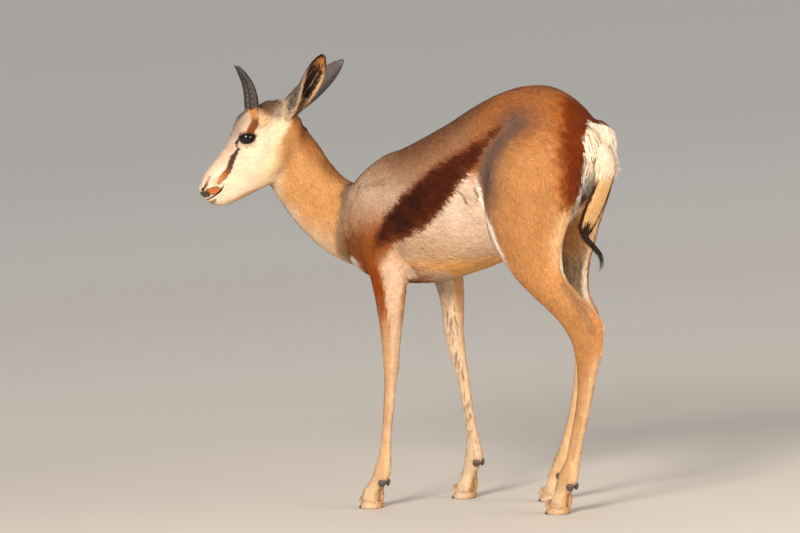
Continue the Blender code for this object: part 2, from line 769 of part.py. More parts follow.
def tail(group, cutters):
    """The dock, its dark edge hair and the curling end tuft, one body."""
    rows = smooth_rows(TAIL, 3)
    path = rows[:, :3]
    ahead = np.gradient(path, axis=0)
    rings = []
    wide = np.array([1.0, 0.0, 0.0])
    for row, along in zip(rows, ahead):
        along = along / np.linalg.norm(along)
        deep = np.cross(wide, along)
        rings.append(ring(row[:3], deep, wide, row[3], row[4], 2.2, 0.0, 16))
    dock = loft("tail", rings, group)
    chance = random.Random(SEED)
    locks = bpy.data.collections.new("locks")
    bpy.context.scene.collection.children.link(locks)
    middle = smooth_rows(TUFT, 2)[:, :3]
    for k in range(TUFT_LOCKS):
        part = k / (TUFT_LOCKS - 1)
        spread = np.array([chance.uniform(-0.008, 0.008), chance.uniform(-0.003, 0.005),
                           chance.uniform(-0.004, 0.005)])
        end = 5 + int(part * 7)
        way = [p + spread * (0.35 + 0.65 * i / end) for i, p in enumerate(middle[:end + 1])]
        turn = math.radians(LOCK_TURN * k)
        flat = np.array([-math.cos(turn), math.sin(turn), 0.1])
        lock("lock", way, 0.0046, 0.0011, flat, locks)
    for side in (1.0, -1.0):
        for k in range(SIDE_LOCKS):
            start = 4 + int(k * 2.6)
            root = path[start] + np.array([side * (rows[start][4] - 0.0012), 0.001, 0.0])
            step = (path[start + 2] - path[start]) * 0.40
            lean = np.array([side * 0.0004, 0.0002, 0.0])
            way = [root + step * i + lean * i for i in range(5)]
            lock("lock", way, 0.0022, 0.0007, np.array([0.2, 1.0, 0.5]), locks)
    join_all = dock.modifiers.new("locks", "BOOLEAN")
    join_all.operand_type = "COLLECTION"
    join_all.collection = locks
    join_all.operation = "UNION"
    join_all.solver = "MANIFOLD"
    apply_modifiers(dock)
    for item in list(locks.objects):
        bpy.data.objects.remove(item, do_unlink=True)
    bpy.data.collections.remove(locks)
    keep_largest(dock)
    return dock


def turned_frame(along, level):
    """Rotation whose Z axis is along and whose X axis is near level."""
    z = Vector(along).normalized()
    x = Vector(level) - z * Vector(level).dot(z)
    x.normalize()
    y = z.cross(x)
    return Matrix((x, y, z)).transposed()


def wedge(name, outline, y0, y1, grow, group):
    """A cutter: a convex outline in x and z, its edges moved out by grow,
    carried from y0 to y1."""
    points = np.array(outline, dtype=float)
    middle = points.mean(axis=0)
    edges = np.roll(points, -1, axis=0) - points
    normals = np.stack([edges[:, 1], -edges[:, 0]], axis=1)
    normals = normals / np.linalg.norm(normals, axis=1)[:, None]
    facing = np.sum(normals * (points - middle), axis=1)
    normals = normals * np.sign(facing)[:, None]
    offsets = np.sum(normals * points, axis=1) + grow
    corners = []
    for k in range(len(points)):
        pair = np.array([normals[k - 1], normals[k]])
        corners.append(np.linalg.solve(pair, [offsets[k - 1], offsets[k]]))
    rings = [[(x, y, z) for x, z in corners] for y in (y0 - grow, y1 + grow)]
    made = loft(name, rings, group)
    made.display_type = "WIRE"
    made.hide_render = True
    return made


def split(body, name, inner, outer, model):
    """The part of the body inside the inner cutter becomes a node; the body
    loses what is inside the outer one, which is larger by the gap."""
    node = copy_of(body, name, model)
    boolean(node, inner, "INTERSECT")
    boolean(body, outer, "DIFFERENCE")
    keep_largest(node)
    keep_largest(body)
    bpy.data.objects.remove(inner, do_unlink=True)
    bpy.data.objects.remove(outer, do_unlink=True)
    return node


# Cuts between nodes: where the neck meets the head and the chest
HEAD_CUT = (0.050, -0.040)
HEAD_CUT_WAY = (0.478, 0.878)
NECK_CUT = (0.001, -0.221, 0.519)
NECK_CUT_ALONG = (0.05, -0.93, 0.36)
FORE_CUT = 0.390
HIND_INNER = 0.462
HIND_OUTER = (0.125, 0.630)
HIND_FRONT = 0.128


def block_ahead(body, name, point, along, size, model, cutters):
    """Takes a node off with a box whose back face is at the point."""
    frame = turned_frame(along, (1, 0, 0))
    centre = Vector(point) + Vector(along).normalized() * (size[2] / 2)
    inner = box("inner", centre, [s - GAP for s in size], frame, cutters)
    outer = box("outer", centre, [s + GAP for s in size], frame, cutters)
    return split(body, name, inner, outer, model)


def cut_nodes(body, model, cutters):
    """Head, neck and legs taken off the body, which stays the torso."""
    nodes = {}
    u, v, s = head_axes()
    nodes["head"] = block_ahead(body, "head", head_point(*HEAD_CUT, 0.0),
                                u * HEAD_CUT_WAY[0] + v * HEAD_CUT_WAY[1],
                                (0.60, 0.60, 0.50), model, cutters)
    nodes["neck"] = block_ahead(body, "neck", NECK_CUT, NECK_CUT_ALONG,
                                (0.40, 0.36, 0.40), model, cutters)
    far = 0.30
    for name, side in (("foreleg_left", 1), ("foreleg_right", -1)):
        outline = ((0.0, -0.1), (side * far, -0.1), (side * far, FORE_CUT),
                   (0.0, FORE_CUT))
        pair = [wedge("cutter", outline, -0.30, 0.10, grow, cutters)
                for grow in (-GAP / 2, GAP / 2)]
        nodes[name] = split(body, name, *pair, model)
    for name, side in (("hindleg_left", 1), ("hindleg_right", -1)):
        outline = ((0.0, -0.1), (side * far, -0.1), (side * far, HIND_OUTER[1]),
                   (side * HIND_OUTER[0], HIND_OUTER[1]), (0.0, HIND_INNER))
        pair = [wedge("cutter", outline, HIND_FRONT, 0.60, grow, cutters)
                for grow in (-GAP / 2, GAP / 2)]
        nodes[name] = split(body, name, *pair, model)
    return nodes


def cut_feet(nodes, cutters):
    """The flesh of each leg ends at the coronet, above the claws."""
    legs = ("foreleg_left", "foreleg_right", "hindleg_left", "hindleg_right")
    for name, foot in zip(legs, FEET):
        x, y = foot[1], foot[2]
        height = coronet(y, y) + GAP
        tilt = Matrix.Rotation(-math.atan(CORONET_FALL), 3, "X")
        down = tilt @ Vector((0.0, 0.0, -0.05))
        tool = box("sole", Vector((x, y, height)) + down, (0.1, 0.1, 0.1), tilt, cutters)
        boolean(nodes[name], tool, "DIFFERENCE")
        keep_largest(nodes[name])
        bpy.data.objects.remove(tool, do_unlink=True)


# Mouth and nostrils in the head's frame
MOUTH_V = 0.0120
MOUTH_BACK = 0.1670
MOUTH_CUT = 0.0010
MOUTH_DEEP = 0.0035
NOSTRIL_AT = (0.1955, 0.0315, 0.0105)
NOSTRIL_SIZE = (0.0040, 0.0075, 0.0028)


def mouth(host, cutters):
    """The line between the lips: a thin level slot that stops short of the
    muzzle's core."""
    u, v, s = head_axes()
    frame = Matrix((Vector(u), Vector(v), Vector(s))).transposed()
    length = 0.06
    slot = box("mouth", head_point(MOUTH_BACK + length / 2, MOUTH_V, 0.0),
               (length, MOUTH_CUT, 0.08), frame, cutters)
    rows = [(r[0] - MOUTH_DEEP, (r[1] + r[2]) / 2, 0.0, (r[1] - r[2]) / 2 - MOUTH_DEEP,
             max(r[3] - MOUTH_DEEP, 0.004), r[4], r[5]) for r in HEAD[4:]]
    rings = [ring(head_point(r[0], r[1], 0.0), v, s, r[3], r[4], r[5], r[6], 24)
             for r in smooth_rows(rows, 3)]
    core = loft("core", rings, cutters)
    boolean(slot, core, "DIFFERENCE")
    bpy.data.objects.remove(core, do_unlink=True)
    boolean(host, slot, "DIFFERENCE")
    bpy.data.objects.remove(slot, do_unlink=True)


def nostrils(host, cutters):
    for side in (1, -1):
        at = (NOSTRIL_AT[0], NOSTRIL_AT[1], side * NOSTRIL_AT[2])
        tool = head_lump("nostril", at, NOSTRIL_SIZE, cutters)
        boolean(host, tool, "DIFFERENCE")
        bpy.data.objects.remove(tool, do_unlink=True)


THIN = {"head": 0.11, "neck": 0.06, "torso": 0.044, "foreleg_left": 0.09,
        "foreleg_right": 0.09, "hindleg_left": 0.055, "hindleg_right": 0.055}


def build():
    clear_scene()
    model = collection("springbok")
    cutters = collection("cutters", hidden=True)
    body = flesh(cutters)
    body.name = "torso"
    model.objects.link(body)
    cutters.objects.unlink(body)
    nodes = cut_nodes(body, model, cutters)
    nodes["torso"] = body
    cut_feet(nodes, cutters)
    for name, item in nodes.items():
        thin_out(item, THIN[name])
    kinds = {name: "fawn" for name in nodes}
    for side, name in ((1, "left"), (-1, "right")):
        lids(nodes["head"], side, model, cutters)
        ball = eye("eye_" + name, side, model)
        seat(nodes["head"], ball, cutters)
        spike = horn("horn_" + name, side, model)
        seat(nodes["head"], spike, cutters)
        nodes[ball.name] = ball
        nodes[spike.name] = spike
        kinds[ball.name] = "eye"
        kinds[spike.name] = "horn"
    for row in EARS:
        cup = ear(*row, model)
        for host in ("head", "neck"):
            seat(nodes[host], cup, cutters, EAR_CLEAR)
            keep_largest(nodes[host])
        nodes[cup.name] = cup
        kinds[cup.name] = "ear"
    mouth(nodes["head"], cutters)
    nostrils(nodes["head"], cutters)
    keep_largest(nodes["head"])
    switch = tail(model, cutters)
    nodes["tail"] = switch
    kinds["tail"] = "tuft"
    for host in ("torso", "hindleg_left", "hindleg_right"):
        seat(nodes[host], switch, cutters)
        keep_largest(nodes[host])
    legs = ("foreleg_left", "foreleg_right", "hindleg_left", "hindleg_right")
    for host, (foot, x, y, dew_y, dew_z) in zip(legs, FEET):
        for side, place in ((1, "a"), (-1, "b")):
            half = claw("claw_%s_%s" % (foot, place), x, y, side, model)
            nodes[half.name] = half
            kinds[half.name] = "claw"
            spur = dew_claw("dewclaw_%s_%s" % (foot, place), x + side * DEW_APART,
                            dew_y, dew_z, side, model)
            seat(nodes[host], spur, cutters)
            nodes[spur.name] = spur
            kinds[spur.name] = "claw"
        keep_largest(nodes[host])
    looks = {kind: material(kind) for kind in COLOURS}
    corners = []
    for name, item in nodes.items():
        item.data.materials.clear()
        item.data.materials.append(looks[kinds[name]])
        item.data.shade_smooth()
        item.data.set_sharp_from_angle(angle=math.radians(40.0))
        corners += [item.matrix_world @ Vector(c) for c in item.bound_box]
    corners = np.array(corners)
    low = corners.min(axis=0)
    high = corners.max(axis=0)
    shift = Vector((-(low[0] + high[0]) / 2, -(low[1] + high[1]) / 2, -low[2]))
    for item in nodes.values():
        item.data.transform(Matrix.Translation(shift))


build()
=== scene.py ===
import functools
import math

import bmesh
import bpy
import numpy as np
from mathutils import Matrix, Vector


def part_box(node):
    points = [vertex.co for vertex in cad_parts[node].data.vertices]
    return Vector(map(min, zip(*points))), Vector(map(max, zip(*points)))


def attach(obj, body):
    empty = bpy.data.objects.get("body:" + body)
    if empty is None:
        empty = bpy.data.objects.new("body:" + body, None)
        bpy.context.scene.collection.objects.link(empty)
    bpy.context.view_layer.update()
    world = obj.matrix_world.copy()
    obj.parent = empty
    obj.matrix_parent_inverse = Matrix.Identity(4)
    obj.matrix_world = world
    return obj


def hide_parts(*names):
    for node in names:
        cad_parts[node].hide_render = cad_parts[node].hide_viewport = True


bl_info = {
    "name": "Springbok looks",
    "version": (1, 0, 0),
    "blender": (4, 5, 0),
    "location": "3D View > Sidebar > Springbok",
    "description": "Skin, coat, eyes, horns and claws of a young springbok round its packed solids",
    "category": "Object",
}

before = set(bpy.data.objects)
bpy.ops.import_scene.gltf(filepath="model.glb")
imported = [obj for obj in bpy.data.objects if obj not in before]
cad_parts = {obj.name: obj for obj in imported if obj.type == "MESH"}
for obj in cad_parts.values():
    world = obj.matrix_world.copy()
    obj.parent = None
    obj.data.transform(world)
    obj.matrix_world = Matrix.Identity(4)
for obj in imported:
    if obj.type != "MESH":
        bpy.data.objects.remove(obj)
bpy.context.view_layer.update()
BODY = "root"

# The solids' own sizes, in body coordinates: x = 0 is the trunk's middle
HEAD_AT = (0.055, -0.3208, 0.7119)
HEAD_YAW = 56.0
HEAD_PITCH = 44.0
EYE_AT = (0.0735, 0.0375, 0.0245)
EYE_RADIUS = 0.0165
EYE_OPEN = (0.0148, 0.0086)   # half length and half height of the slit
EYE_LEAN = 41.0               # degrees from noseward to crownward
EYE_FORWARD = 0.0016          # how far the slit's middle lies ahead of the ball's
CORNEA_RISE = 0.035
CORNEA_EDGE = 42.0            # degrees from its middle
LASH_WIDTH = 0.00035
HEAD_CUT = (0.050, -0.040, 0.0)
HEAD_CUT_WAY = (0.478, 0.878)
NECK_CUT = (0.001, -0.221, 0.519)
NECK_CUT_ALONG = (0.05, -0.93, 0.36)
FORE_CUT = 0.390
HIND_CUT = (0.462, 1.34)      # height at the middle, rise with distance from it
HIND_FRONT = 0.128
# Middles of the feet: fore and hind, left and right
FEET = {"fl": (0.070, -0.173), "fr": (-0.070, -0.070), "hl": (0.067, 0.270), "hr": (-0.065, 0.143)}
FLESH = ("head", "neck", "torso", "foreleg_left", "foreleg_right", "hindleg_left", "hindleg_right")
SIDES = {"left": 1.0, "right": -1.0}
# Pockets of the solids that get filled: place and half sizes
EAR_POCKET = ((-0.006, 0.016, 0.028), (0.022, 0.019, 0.015))
HORN_POCKET = ((0.030, 0.050, 0.019), (0.013, 0.019, 0.012))
CLAW_POCKET = ((0.0, -0.002, 0.017), (0.0125, 0.020, 0.011))
WELD = 0.00002                # corners of loose triangles closer than this are one
# Number of each hair piece's own random draws; those of the body have 0 to 8
DRAWS = {"ear_left": 81, "ear_right": 82, "tail": 91, "lashes": 95, "claws": 96}
BAKE_EDGE = 0.003             # border of a bake that no tuft's middle enters
BAKE_PATCH = 0.003            # width of one tuft's patch in a bake

# Camera: the photo's angle, in body coordinates, with its frame of 800 x 533
VIEW_TURN = 42.0
VIEW_RISE = 5.0
VIEW_ROLL = 4.6
VIEW_FAR = 11.0
VIEW_SCALE = 553.0            # pixels for a metre at the aim
VIEW_AIM = (0.0, 0.0, 0.3917)
VIEW_AIM_PIXEL = (450.0, 290.0)
PICTURE = (800.0, 533.0)


def axes_of_head():
    """Unit vectors to the nose, to the crown and to the animal's left."""
    yaw, pitch = math.radians(HEAD_YAW), math.radians(HEAD_PITCH)
    ahead = np.array([math.sin(yaw), -math.cos(yaw), 0.0])
    up = np.array([0.0, 0.0, 1.0])
    return (ahead * math.cos(pitch) - up * math.sin(pitch),
            ahead * math.sin(pitch) + up * math.cos(pitch),
            np.array([math.cos(yaw), math.sin(yaw), 0.0]))


NOSEWARD, CROWNWARD, LEFTWARD = axes_of_head()
HEAD_AXES = np.stack([NOSEWARD, CROWNWARD, LEFTWARD])


def head_point(u, v, s):
    """The point at distances to the nose, to the crown and to the left."""
    return np.array(HEAD_AT) + np.array([u, v, s]) @ HEAD_AXES


def in_head(points):
    """Points as distances to the nose, to the crown and to the left."""
    return (points - np.array(HEAD_AT)) @ HEAD_AXES.T


def unit(vectors):
    """The vectors at length 1."""
    length = np.linalg.norm(vectors, axis=-1, keepdims=True)
    return vectors / np.maximum(length, 1e-12)


def ease(low, high, x):
    """0 below low, 1 above high, with a smooth step between."""
    t = np.clip((x - low) / (high - low), 0.0, 1.0)
    return t * t * (3.0 - 2.0 * t)


def bump_at(x, middle, width):
    """A bell of height 1 at the middle."""
    return np.exp(-((x - middle) / width) ** 2)


def mix(a, b, share):
    """Rows of a and b blended by a share for each row."""
    share = np.asarray(share)[:, None]
    return a * (1.0 - share) + b * share


def square_to(way, normal):
    """The way without its part along the normal, at length 1."""
    return unit(way - normal * np.sum(way * normal, axis=-1, keepdims=True))


def turn_part(across, ahead):
    """The turn about a middle line as a part of a whole one, from 0 to 1."""
    return np.arctan2(across, ahead) / (2.0 * math.pi) + 0.5


# Where the solids stand: the eye's centre in the frame gives the offset
eye_low, eye_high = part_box("eye_left")
SET = (np.array(eye_low) + np.array(eye_high)) / 2.0 - head_point(*EYE_AT)


class SPRINGBOK_colours(bpy.types.PropertyGroup):
    """Colours of the coat and horn, as linear values."""

    fawn: bpy.props.FloatVectorProperty(
        name="Fawn", description="Hair of the thigh and flank", subtype="COLOR",
        default=(0.49, 0.225, 0.080), min=0.0, max=1.0)
    neck: bpy.props.FloatVectorProperty(
        name="Neck", description="Hair of the neck's side", subtype="COLOR",
        default=(0.58, 0.285, 0.105), min=0.0, max=1.0)
    # the greyish look of the shoulder and back is a painted sheen laid over this in back_tint
    back: bpy.props.FloatVectorProperty(
        name="Back", description="Greyish hair of the shoulder and back", subtype="COLOR",
        default=(0.33, 0.165, 0.085), min=0.0, max=1.0)
    croup: bpy.props.FloatVectorProperty(
        name="Croup", description="Deep hair over the hips and nape", subtype="COLOR",
        default=(0.29, 0.100, 0.026), min=0.0, max=1.0)
    white: bpy.props.FloatVectorProperty(
        name="White", description="Hair of the face and the feet", subtype="COLOR",
        default=(0.84, 0.66, 0.48), min=0.0, max=1.0)
    cream: bpy.props.FloatVectorProperty(
        name="Cream", description="Hair of the jaw and legs", subtype="COLOR",
        default=(0.76, 0.50, 0.28), min=0.0, max=1.0)
    stripe: bpy.props.FloatVectorProperty(
        name="Stripe", description="Dark band along the flank", subtype="COLOR",
        default=(0.044, 0.008, 0.0025), min=0.0, max=1.0)
    dark: bpy.props.FloatVectorProperty(
        name="Dark", description="Lids, lashes, nostrils and mouth", subtype="COLOR",
        default=(0.018, 0.011, 0.009), min=0.0, max=1.0)
    horn: bpy.props.FloatVectorProperty(
        name="Horn", description="Both horns", subtype="COLOR",
        default=(0.028, 0.018, 0.014), min=0.0, max=1.0)


class SPRINGBOK_sizes(bpy.types.PropertyGroup):
    """Sizes of the coat."""

    cell: bpy.props.FloatProperty(
        name="Skin cell", description="Cell of the merged skin", unit="LENGTH",
        default=0.0034, min=0.002, max=0.006)
    hair: bpy.props.FloatProperty(
        name="Hair length", description="Length of a tuft on the flank", unit="LENGTH",
        default=0.0125, min=0.004, max=0.03)
    tuft: bpy.props.FloatProperty(
        name="Tuft width", description="Width of a tuft on the flank", unit="LENGTH",
        default=0.0017, min=0.0005, max=0.004)
    depth: bpy.props.FloatProperty(
        name="Coat depth", description="How far the skin lies inside the solids", unit="LENGTH",
        default=0.0028, min=0.0, max=0.006)
    seed: bpy.props.IntProperty(
        name="Seed", description="Start of the random draws", default=7, min=0)


def colour(name):
    """A colour of the panel by its name, or the given values themselves."""
    if isinstance(name, str):
        name = getattr(bpy.context.scene.springbok_colours, name)
    return np.array(name)


def all_over(name, count):
    """The same colour for each of count points."""
    return np.tile(colour(name), (count, 1))


def sizes():
    """The sizes of the panel."""
    return bpy.context.scene.springbok_sizes


def draws(number):
    """The random draws of a piece, from the panel's seed and its number."""
    return np.random.default_rng(sizes().seed * 100 + number)


def new_mesh(name, points, corners, counts):
    """A mesh in the row's frame from points in body coordinates, the corner
    indices of all faces in a row and the number of corners of each."""
    mesh = bpy.data.meshes.new(name)
    mesh.vertices.add(len(points))
    mesh.vertices.foreach_set("co", (points + SET).astype(np.float32).ravel())
    mesh.loops.add(len(corners))
    mesh.loops.foreach_set("vertex_index", np.asarray(corners, np.int32))
    mesh.polygons.add(len(counts))
    starts = np.concatenate(([0], np.cumsum(counts)[:-1])).astype(np.int32)
    mesh.polygons.foreach_set("loop_start", starts)
    mesh.update(calc_edges=True)
    mesh.polygons.foreach_set("use_smooth", np.ones(len(counts), bool))
    return mesh


def even_mesh(name, points, faces):
    """A mesh whose faces, the rows of an array, have equally many corners."""
    return new_mesh(name, points.reshape(-1, 3), faces.ravel(), np.full(len(faces), faces.shape[1]))


def face_out(mesh):
    """The faces of a closed mesh turned to face outward."""
    work = bmesh.new()
    work.from_mesh(mesh)
    bmesh.ops.recalc_face_normals(work, faces=work.faces[:])
    work.to_mesh(mesh)
    work.free()


def ring_places(rows, columns):
    """The ring and the turn of each point of a tube of rings."""
    turn = np.linspace(0.0, 2.0 * math.pi, columns, endpoint=False)
    return np.repeat(np.arange(rows), columns), np.tile(turn, rows)


def closed_rings(name, points, rows, columns):
    """A closed mesh from rings of points, with a fan at each end to one of
    the last two points."""
    quads = grid_faces(rows, columns, True)
    here = np.arange(columns)
    after = np.roll(here, -1)
    low = (rows - 1) * columns
    first = np.stack([np.full(columns, rows * columns), here, after], axis=1)
    last = np.stack([np.full(columns, rows * columns + 1), after + low, here + low], axis=1)
    corners = np.concatenate([quads.ravel(), first.ravel(), last.ravel()])
    counts = np.concatenate([np.full(len(quads), 4), np.full(2 * columns, 3)])
    mesh = new_mesh(name, points, corners, counts)
    face_out(mesh)
    return mesh


def tinted(mesh, tints):
    """The mesh gets the colour of each point as the attribute tint."""
    layer = mesh.attributes.new("tint", "FLOAT_COLOR", "POINT")
    full = np.ones((len(tints), 4), np.float32)
    full[:, :3] = np.clip(tints, 0.0, 1.0)
    layer.data.foreach_set("color", full.ravel())


def unwrapped(mesh, middles, patch, corners):
    """The mesh gets the UV map OFBake: each tuft's own small patch at the
    place of its root."""
    places = np.clip(middles, BAKE_EDGE, 1.0 - BAKE_EDGE)[:, None, :] + patch[None] * BAKE_PATCH
    layer = mesh.uv_layers.new(name="OFBake")
    layer.uv.foreach_set("vector", places.reshape(-1, 2)[corners].astype(np.float32).ravel())


def in_scene(name, data):
    """A new object of the data in the scene."""
    made = bpy.data.objects.new(name, data)
    bpy.context.scene.collection.objects.link(made)
    return made


def piece(name, mesh, slot, look, *nodes):
    """The mesh with its finish as an object that rides the body and stands
    for the nodes."""
    made = in_scene(name, mesh)
    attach(made, BODY)
    if nodes:
        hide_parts(*nodes)
    mesh.materials.append(finish(look))


def grid_faces(rows, columns, around):
    """Quads between neighbouring rows of a grid of points, with the last
    column joined to the first where it goes around."""
    index = np.arange(rows * columns).reshape(rows, columns)
    if around:
        index = np.concatenate([index, index[:, :1]], axis=1)
    quads = np.stack([index[:-1, :-1], index[:-1, 1:], index[1:, 1:], index[1:, :-1]], axis=-1)
    return quads.reshape(-1, 4)


def point_normals(points, triangles):
    """Unit normals: the sum of the triangles' area vectors at each point."""
    a, b, c = (points[triangles[:, k]] for k in range(3))
    area = np.cross(b - a, c - a)
    total = np.zeros_like(points)
    for axis in range(3):
        for k in range(3):
            total[:, axis] += np.bincount(triangles[:, k], area[:, axis], len(points))
    return unit(total)


def edges_of(triangles):
    """Each edge once, as its two points."""
    pairs = np.concatenate([triangles[:, [0, 1]], triangles[:, [1, 2]], triangles[:, [2, 0]]])
    return np.unique(np.sort(pairs, axis=1), axis=0)


def neighbour_mean(values, edges):
    """Each point's mean of its neighbours' values."""
    count = np.bincount(edges.ravel(), minlength=len(values)).astype(float)
    total = np.empty_like(values)
    for axis in range(values.shape[1]):
        total[:, axis] = (np.bincount(edges[:, 0], values[edges[:, 1], axis], len(values))
                          + np.bincount(edges[:, 1], values[edges[:, 0], axis], len(values)))
    return total / np.maximum(count, 1.0)[:, None]


def polished(points, edges, steps):
    """Smoothing that keeps the volume: each step moves a point half way to
    its neighbours' mean and then a little more than that back."""
    for step in range(steps):
        for share in (0.5, -0.53):
            points = points + share * (neighbour_mean(points, edges) - points)
    return points


def largest_shell(points, triangles):
    """The points and triangles of the largest joined surface."""
    edges = edges_of(triangles)
    label = np.arange(len(points))
    while True:
        low = np.minimum(label[edges[:, 0]], label[edges[:, 1]])
        new = label.copy()
        np.minimum.at(new, edges[:, 0], low)
        np.minimum.at(new, edges[:, 1], low)
        new = new[new]
        if np.array_equal(new, label):
            break
        label = new
    main = np.bincount(label).argmax()
    kept = label == main
    number = np.cumsum(kept) - 1
    return points[kept], number[triangles[kept[triangles[:, 0]]]]


def arrays_of(mesh):
    """Points and triangles of a mesh."""
    mesh.calc_loop_triangles()
    points = np.empty(len(mesh.vertices) * 3, np.float32)
    mesh.vertices.foreach_get("co", points)
    corners = np.empty(len(mesh.loop_triangles) * 3, np.int32)
    mesh.loop_triangles.foreach_get("vertices", corners)
    return points.reshape(-1, 3).astype(float), corners.reshape(-1, 3)


def arrays_of_work(work):
    """Points and triangles of a mesh in work, which is freed."""
    mesh = bpy.data.meshes.new("temp")
    work.to_mesh(mesh)
    work.free()
    out = arrays_of(mesh)
    bpy.data.meshes.remove(mesh)
    return out


def through_modifier(mesh, settle):
    """Points and triangles of the mesh after the modifiers that settle adds
    to a short-lived object."""
    temp = in_scene("temp", mesh)
    settle(temp)
    graph = bpy.context.evaluated_depsgraph_get()
    out = arrays_of(temp.evaluated_get(graph).to_mesh())
    bpy.data.objects.remove(temp, do_unlink=True)
    bpy.data.meshes.remove(mesh)
    return out


def plug(work, at, size, axes):
    """An ellipsoid that fills a pocket of the solids."""
    frame_axes = Matrix([tuple(axes[k] * size[k]) for k in range(3)]).transposed().to_4x4()
    place = Matrix.Translation(tuple(np.asarray(at) + SET)) @ frame_axes
    bmesh.ops.create_uvsphere(work, u_segments=16, v_segments=10, radius=1.0, matrix=place)


def merged_flesh():
    """The flesh solids and eyes merged into one closed surface, with their
    pockets for ears, horns and claws filled."""
    work = bmesh.new()
    for name in FLESH + ("eye_left", "eye_right"):
        work.from_mesh(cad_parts[name].data)
    bmesh.ops.remove_doubles(work, verts=work.verts[:], dist=WELD)
    for side in SIDES.values():
        for (u, v, s), size in (EAR_POCKET, HORN_POCKET):
            plug(work, head_point(u, v, side * s), size, HEAD_AXES)
    (right, back, up), size = CLAW_POCKET
    for x, y in FEET.values():
        plug(work, (x + right, y + back, up), size, np.eye(3))
    mesh = bpy.data.meshes.new("flesh")
    work.to_mesh(mesh)
    work.free()

    def settle(item):
        cells = item.modifiers.new("cells", "REMESH")
        cells.mode = "VOXEL"
        cells.voxel_size = sizes().cell
        cells.adaptivity = 0.0

    points, triangles = through_modifier(mesh, settle)
    points, triangles = largest_shell(points - SET, triangles)
    return polished(points, edges_of(triangles), 24), triangles


def ahead_of_cut(points):
    """Distance ahead of the cut between neck and head, negative behind."""
    way = unit(HEAD_CUT_WAY[0] * NOSEWARD + HEAD_CUT_WAY[1] * CROWNWARD)
    return (points - head_point(*HEAD_CUT)) @ way


def refined(points, triangles, wanted):
    """Each edge with both ends wanted is cut in two."""
    work = bmesh.new()
    mesh = even_mesh("fine", points - SET, triangles)
    work.from_mesh(mesh)
    bpy.data.meshes.remove(mesh)
    work.verts.ensure_lookup_table()
    mark = wanted(points)
    edges = [e for e in work.edges if mark[e.verts[0].index] and mark[e.verts[1].index]]
    bmesh.ops.subdivide_edges(work, edges=edges, cuts=1, use_grid_fill=True)
    bmesh.ops.triangulate(work, faces=work.faces[:])
    return arrays_of_work(work)


def near_eye(points, reach):
    """Mask of the points within reach of an eye's centre."""
    near = np.zeros(len(points), bool)
    for side in SIDES.values():
        centre = head_point(EYE_AT[0], EYE_AT[1], side * EYE_AT[2])
        near |= np.linalg.norm(points - centre, axis=1) < reach
    return near


def eye_axes(side):
    """Centre, way it looks, way along the slit to the nose, way over it."""
    look = unit(side * LEFTWARD + 0.16 * NOSEWARD + 0.02 * CROWNWARD)
    lean = math.radians(EYE_LEAN)
    along = NOSEWARD * math.cos(lean) + CROWNWARD * math.sin(lean)
    along = unit(along - look * along.dot(look))
    over = unit(CROWNWARD * math.cos(lean) - NOSEWARD * math.sin(lean))
    over = unit(over - look * over.dot(look) - along * over.dot(along))
    return head_point(EYE_AT[0], EYE_AT[1], side * EYE_AT[2]), look, along, over


def open_eyes(points):
    """The skin drawn to the lids: inside the almond it sinks under the
    eyeball, and outside it rises over the ball and meets the brow."""
    for side in SIDES.values():
        centre, look, along, over = eye_axes(side)
        ray = points - centre
        far = np.linalg.norm(ray, axis=1)
        way = ray / np.maximum(far, 1e-9)[:, None]
        a = (way @ along * EYE_RADIUS - EYE_FORWARD) / EYE_OPEN[0]
        b = way @ over * EYE_RADIUS / EYE_OPEN[1]
        q = a * a + np.abs(b) ** 1.6
        lid = EYE_RADIUS + 0.0011
        out = lid + (far - lid) * ease(1.15, 3.4, q)
        out = out - 0.0010 * bump_at(q, 1.75, 0.22) * ease(-0.2, 0.4, b)
        new = np.where(q < 1.0, EYE_RADIUS - 0.0030 + 0.0041 * ease(0.86, 1.0, q), out)
        ahead = (way @ look > 0.30) & (far < 2.1 * EYE_RADIUS)
        share = np.where(ahead, ease(0.30, 0.50, way @ look), 0.0)
        points = centre + way * (far + (new - far) * share)[:, None]
    return points


def line_distance(points, line):
    """Distance of each point to a bent line, and how far along it that is,
    from 0 to 1."""
    line = np.asarray(line, float)
    best = np.full(len(points), 1e9)
    part = np.zeros(len(points))
    count = len(line) - 1
    for k in range(count):
        step = line[k + 1] - line[k]
        t = np.clip((points - line[k]) @ step / (step @ step), 0.0, 1.0)
        far = np.linalg.norm(points - line[k] - t[:, None] * step, axis=1)
        near = far < best
        best = np.where(near, far, best)
        part = np.where(near, (k + t) / count, part)
    return best, part


# Grooves on the legs: y and z, the hind ones for the left leg
HIND_LEAN = 0.127             # how far the right hind foot stands ahead of the left
HOCK_GROOVE = ((0.3381, 0.4134), (0.3694, 0.3787), (0.3942, 0.3455), (0.3991, 0.3313))
HIND_GROOVE = ((0.3760, 0.2500), (0.3655, 0.2180), (0.3530, 0.1790), (0.3355, 0.1300), (0.3235, 0.0970))
FORE_GROOVES = ((1.0, ((-0.0975, 0.2200), (-0.1060, 0.1900), (-0.1180, 0.1300), (-0.1265, 0.0970))),
                (-1.0, ((-0.0440, 0.2200), (-0.0395, 0.1900), (-0.0350, 0.1300), (-0.0345, 0.1020))))
# Lines on the head's side: noseward and crownward
NOSTRIL = ((0.1720, 0.0412), (0.1819, 0.0390), (0.1911, 0.0357), (0.1996, 0.0340), (0.2045, 0.0325))
MOUTH = ((0.1660, 0.0122), (0.1745, 0.0110), (0.1824, 0.0105), (0.1934, 0.0130), (0.1998, 0.0148),
         (0.2050, 0.0160))
TEAR = ((0.0869, 0.0475), (0.0953, 0.0459), (0.0997, 0.0410), (0.1006, 0.0347))


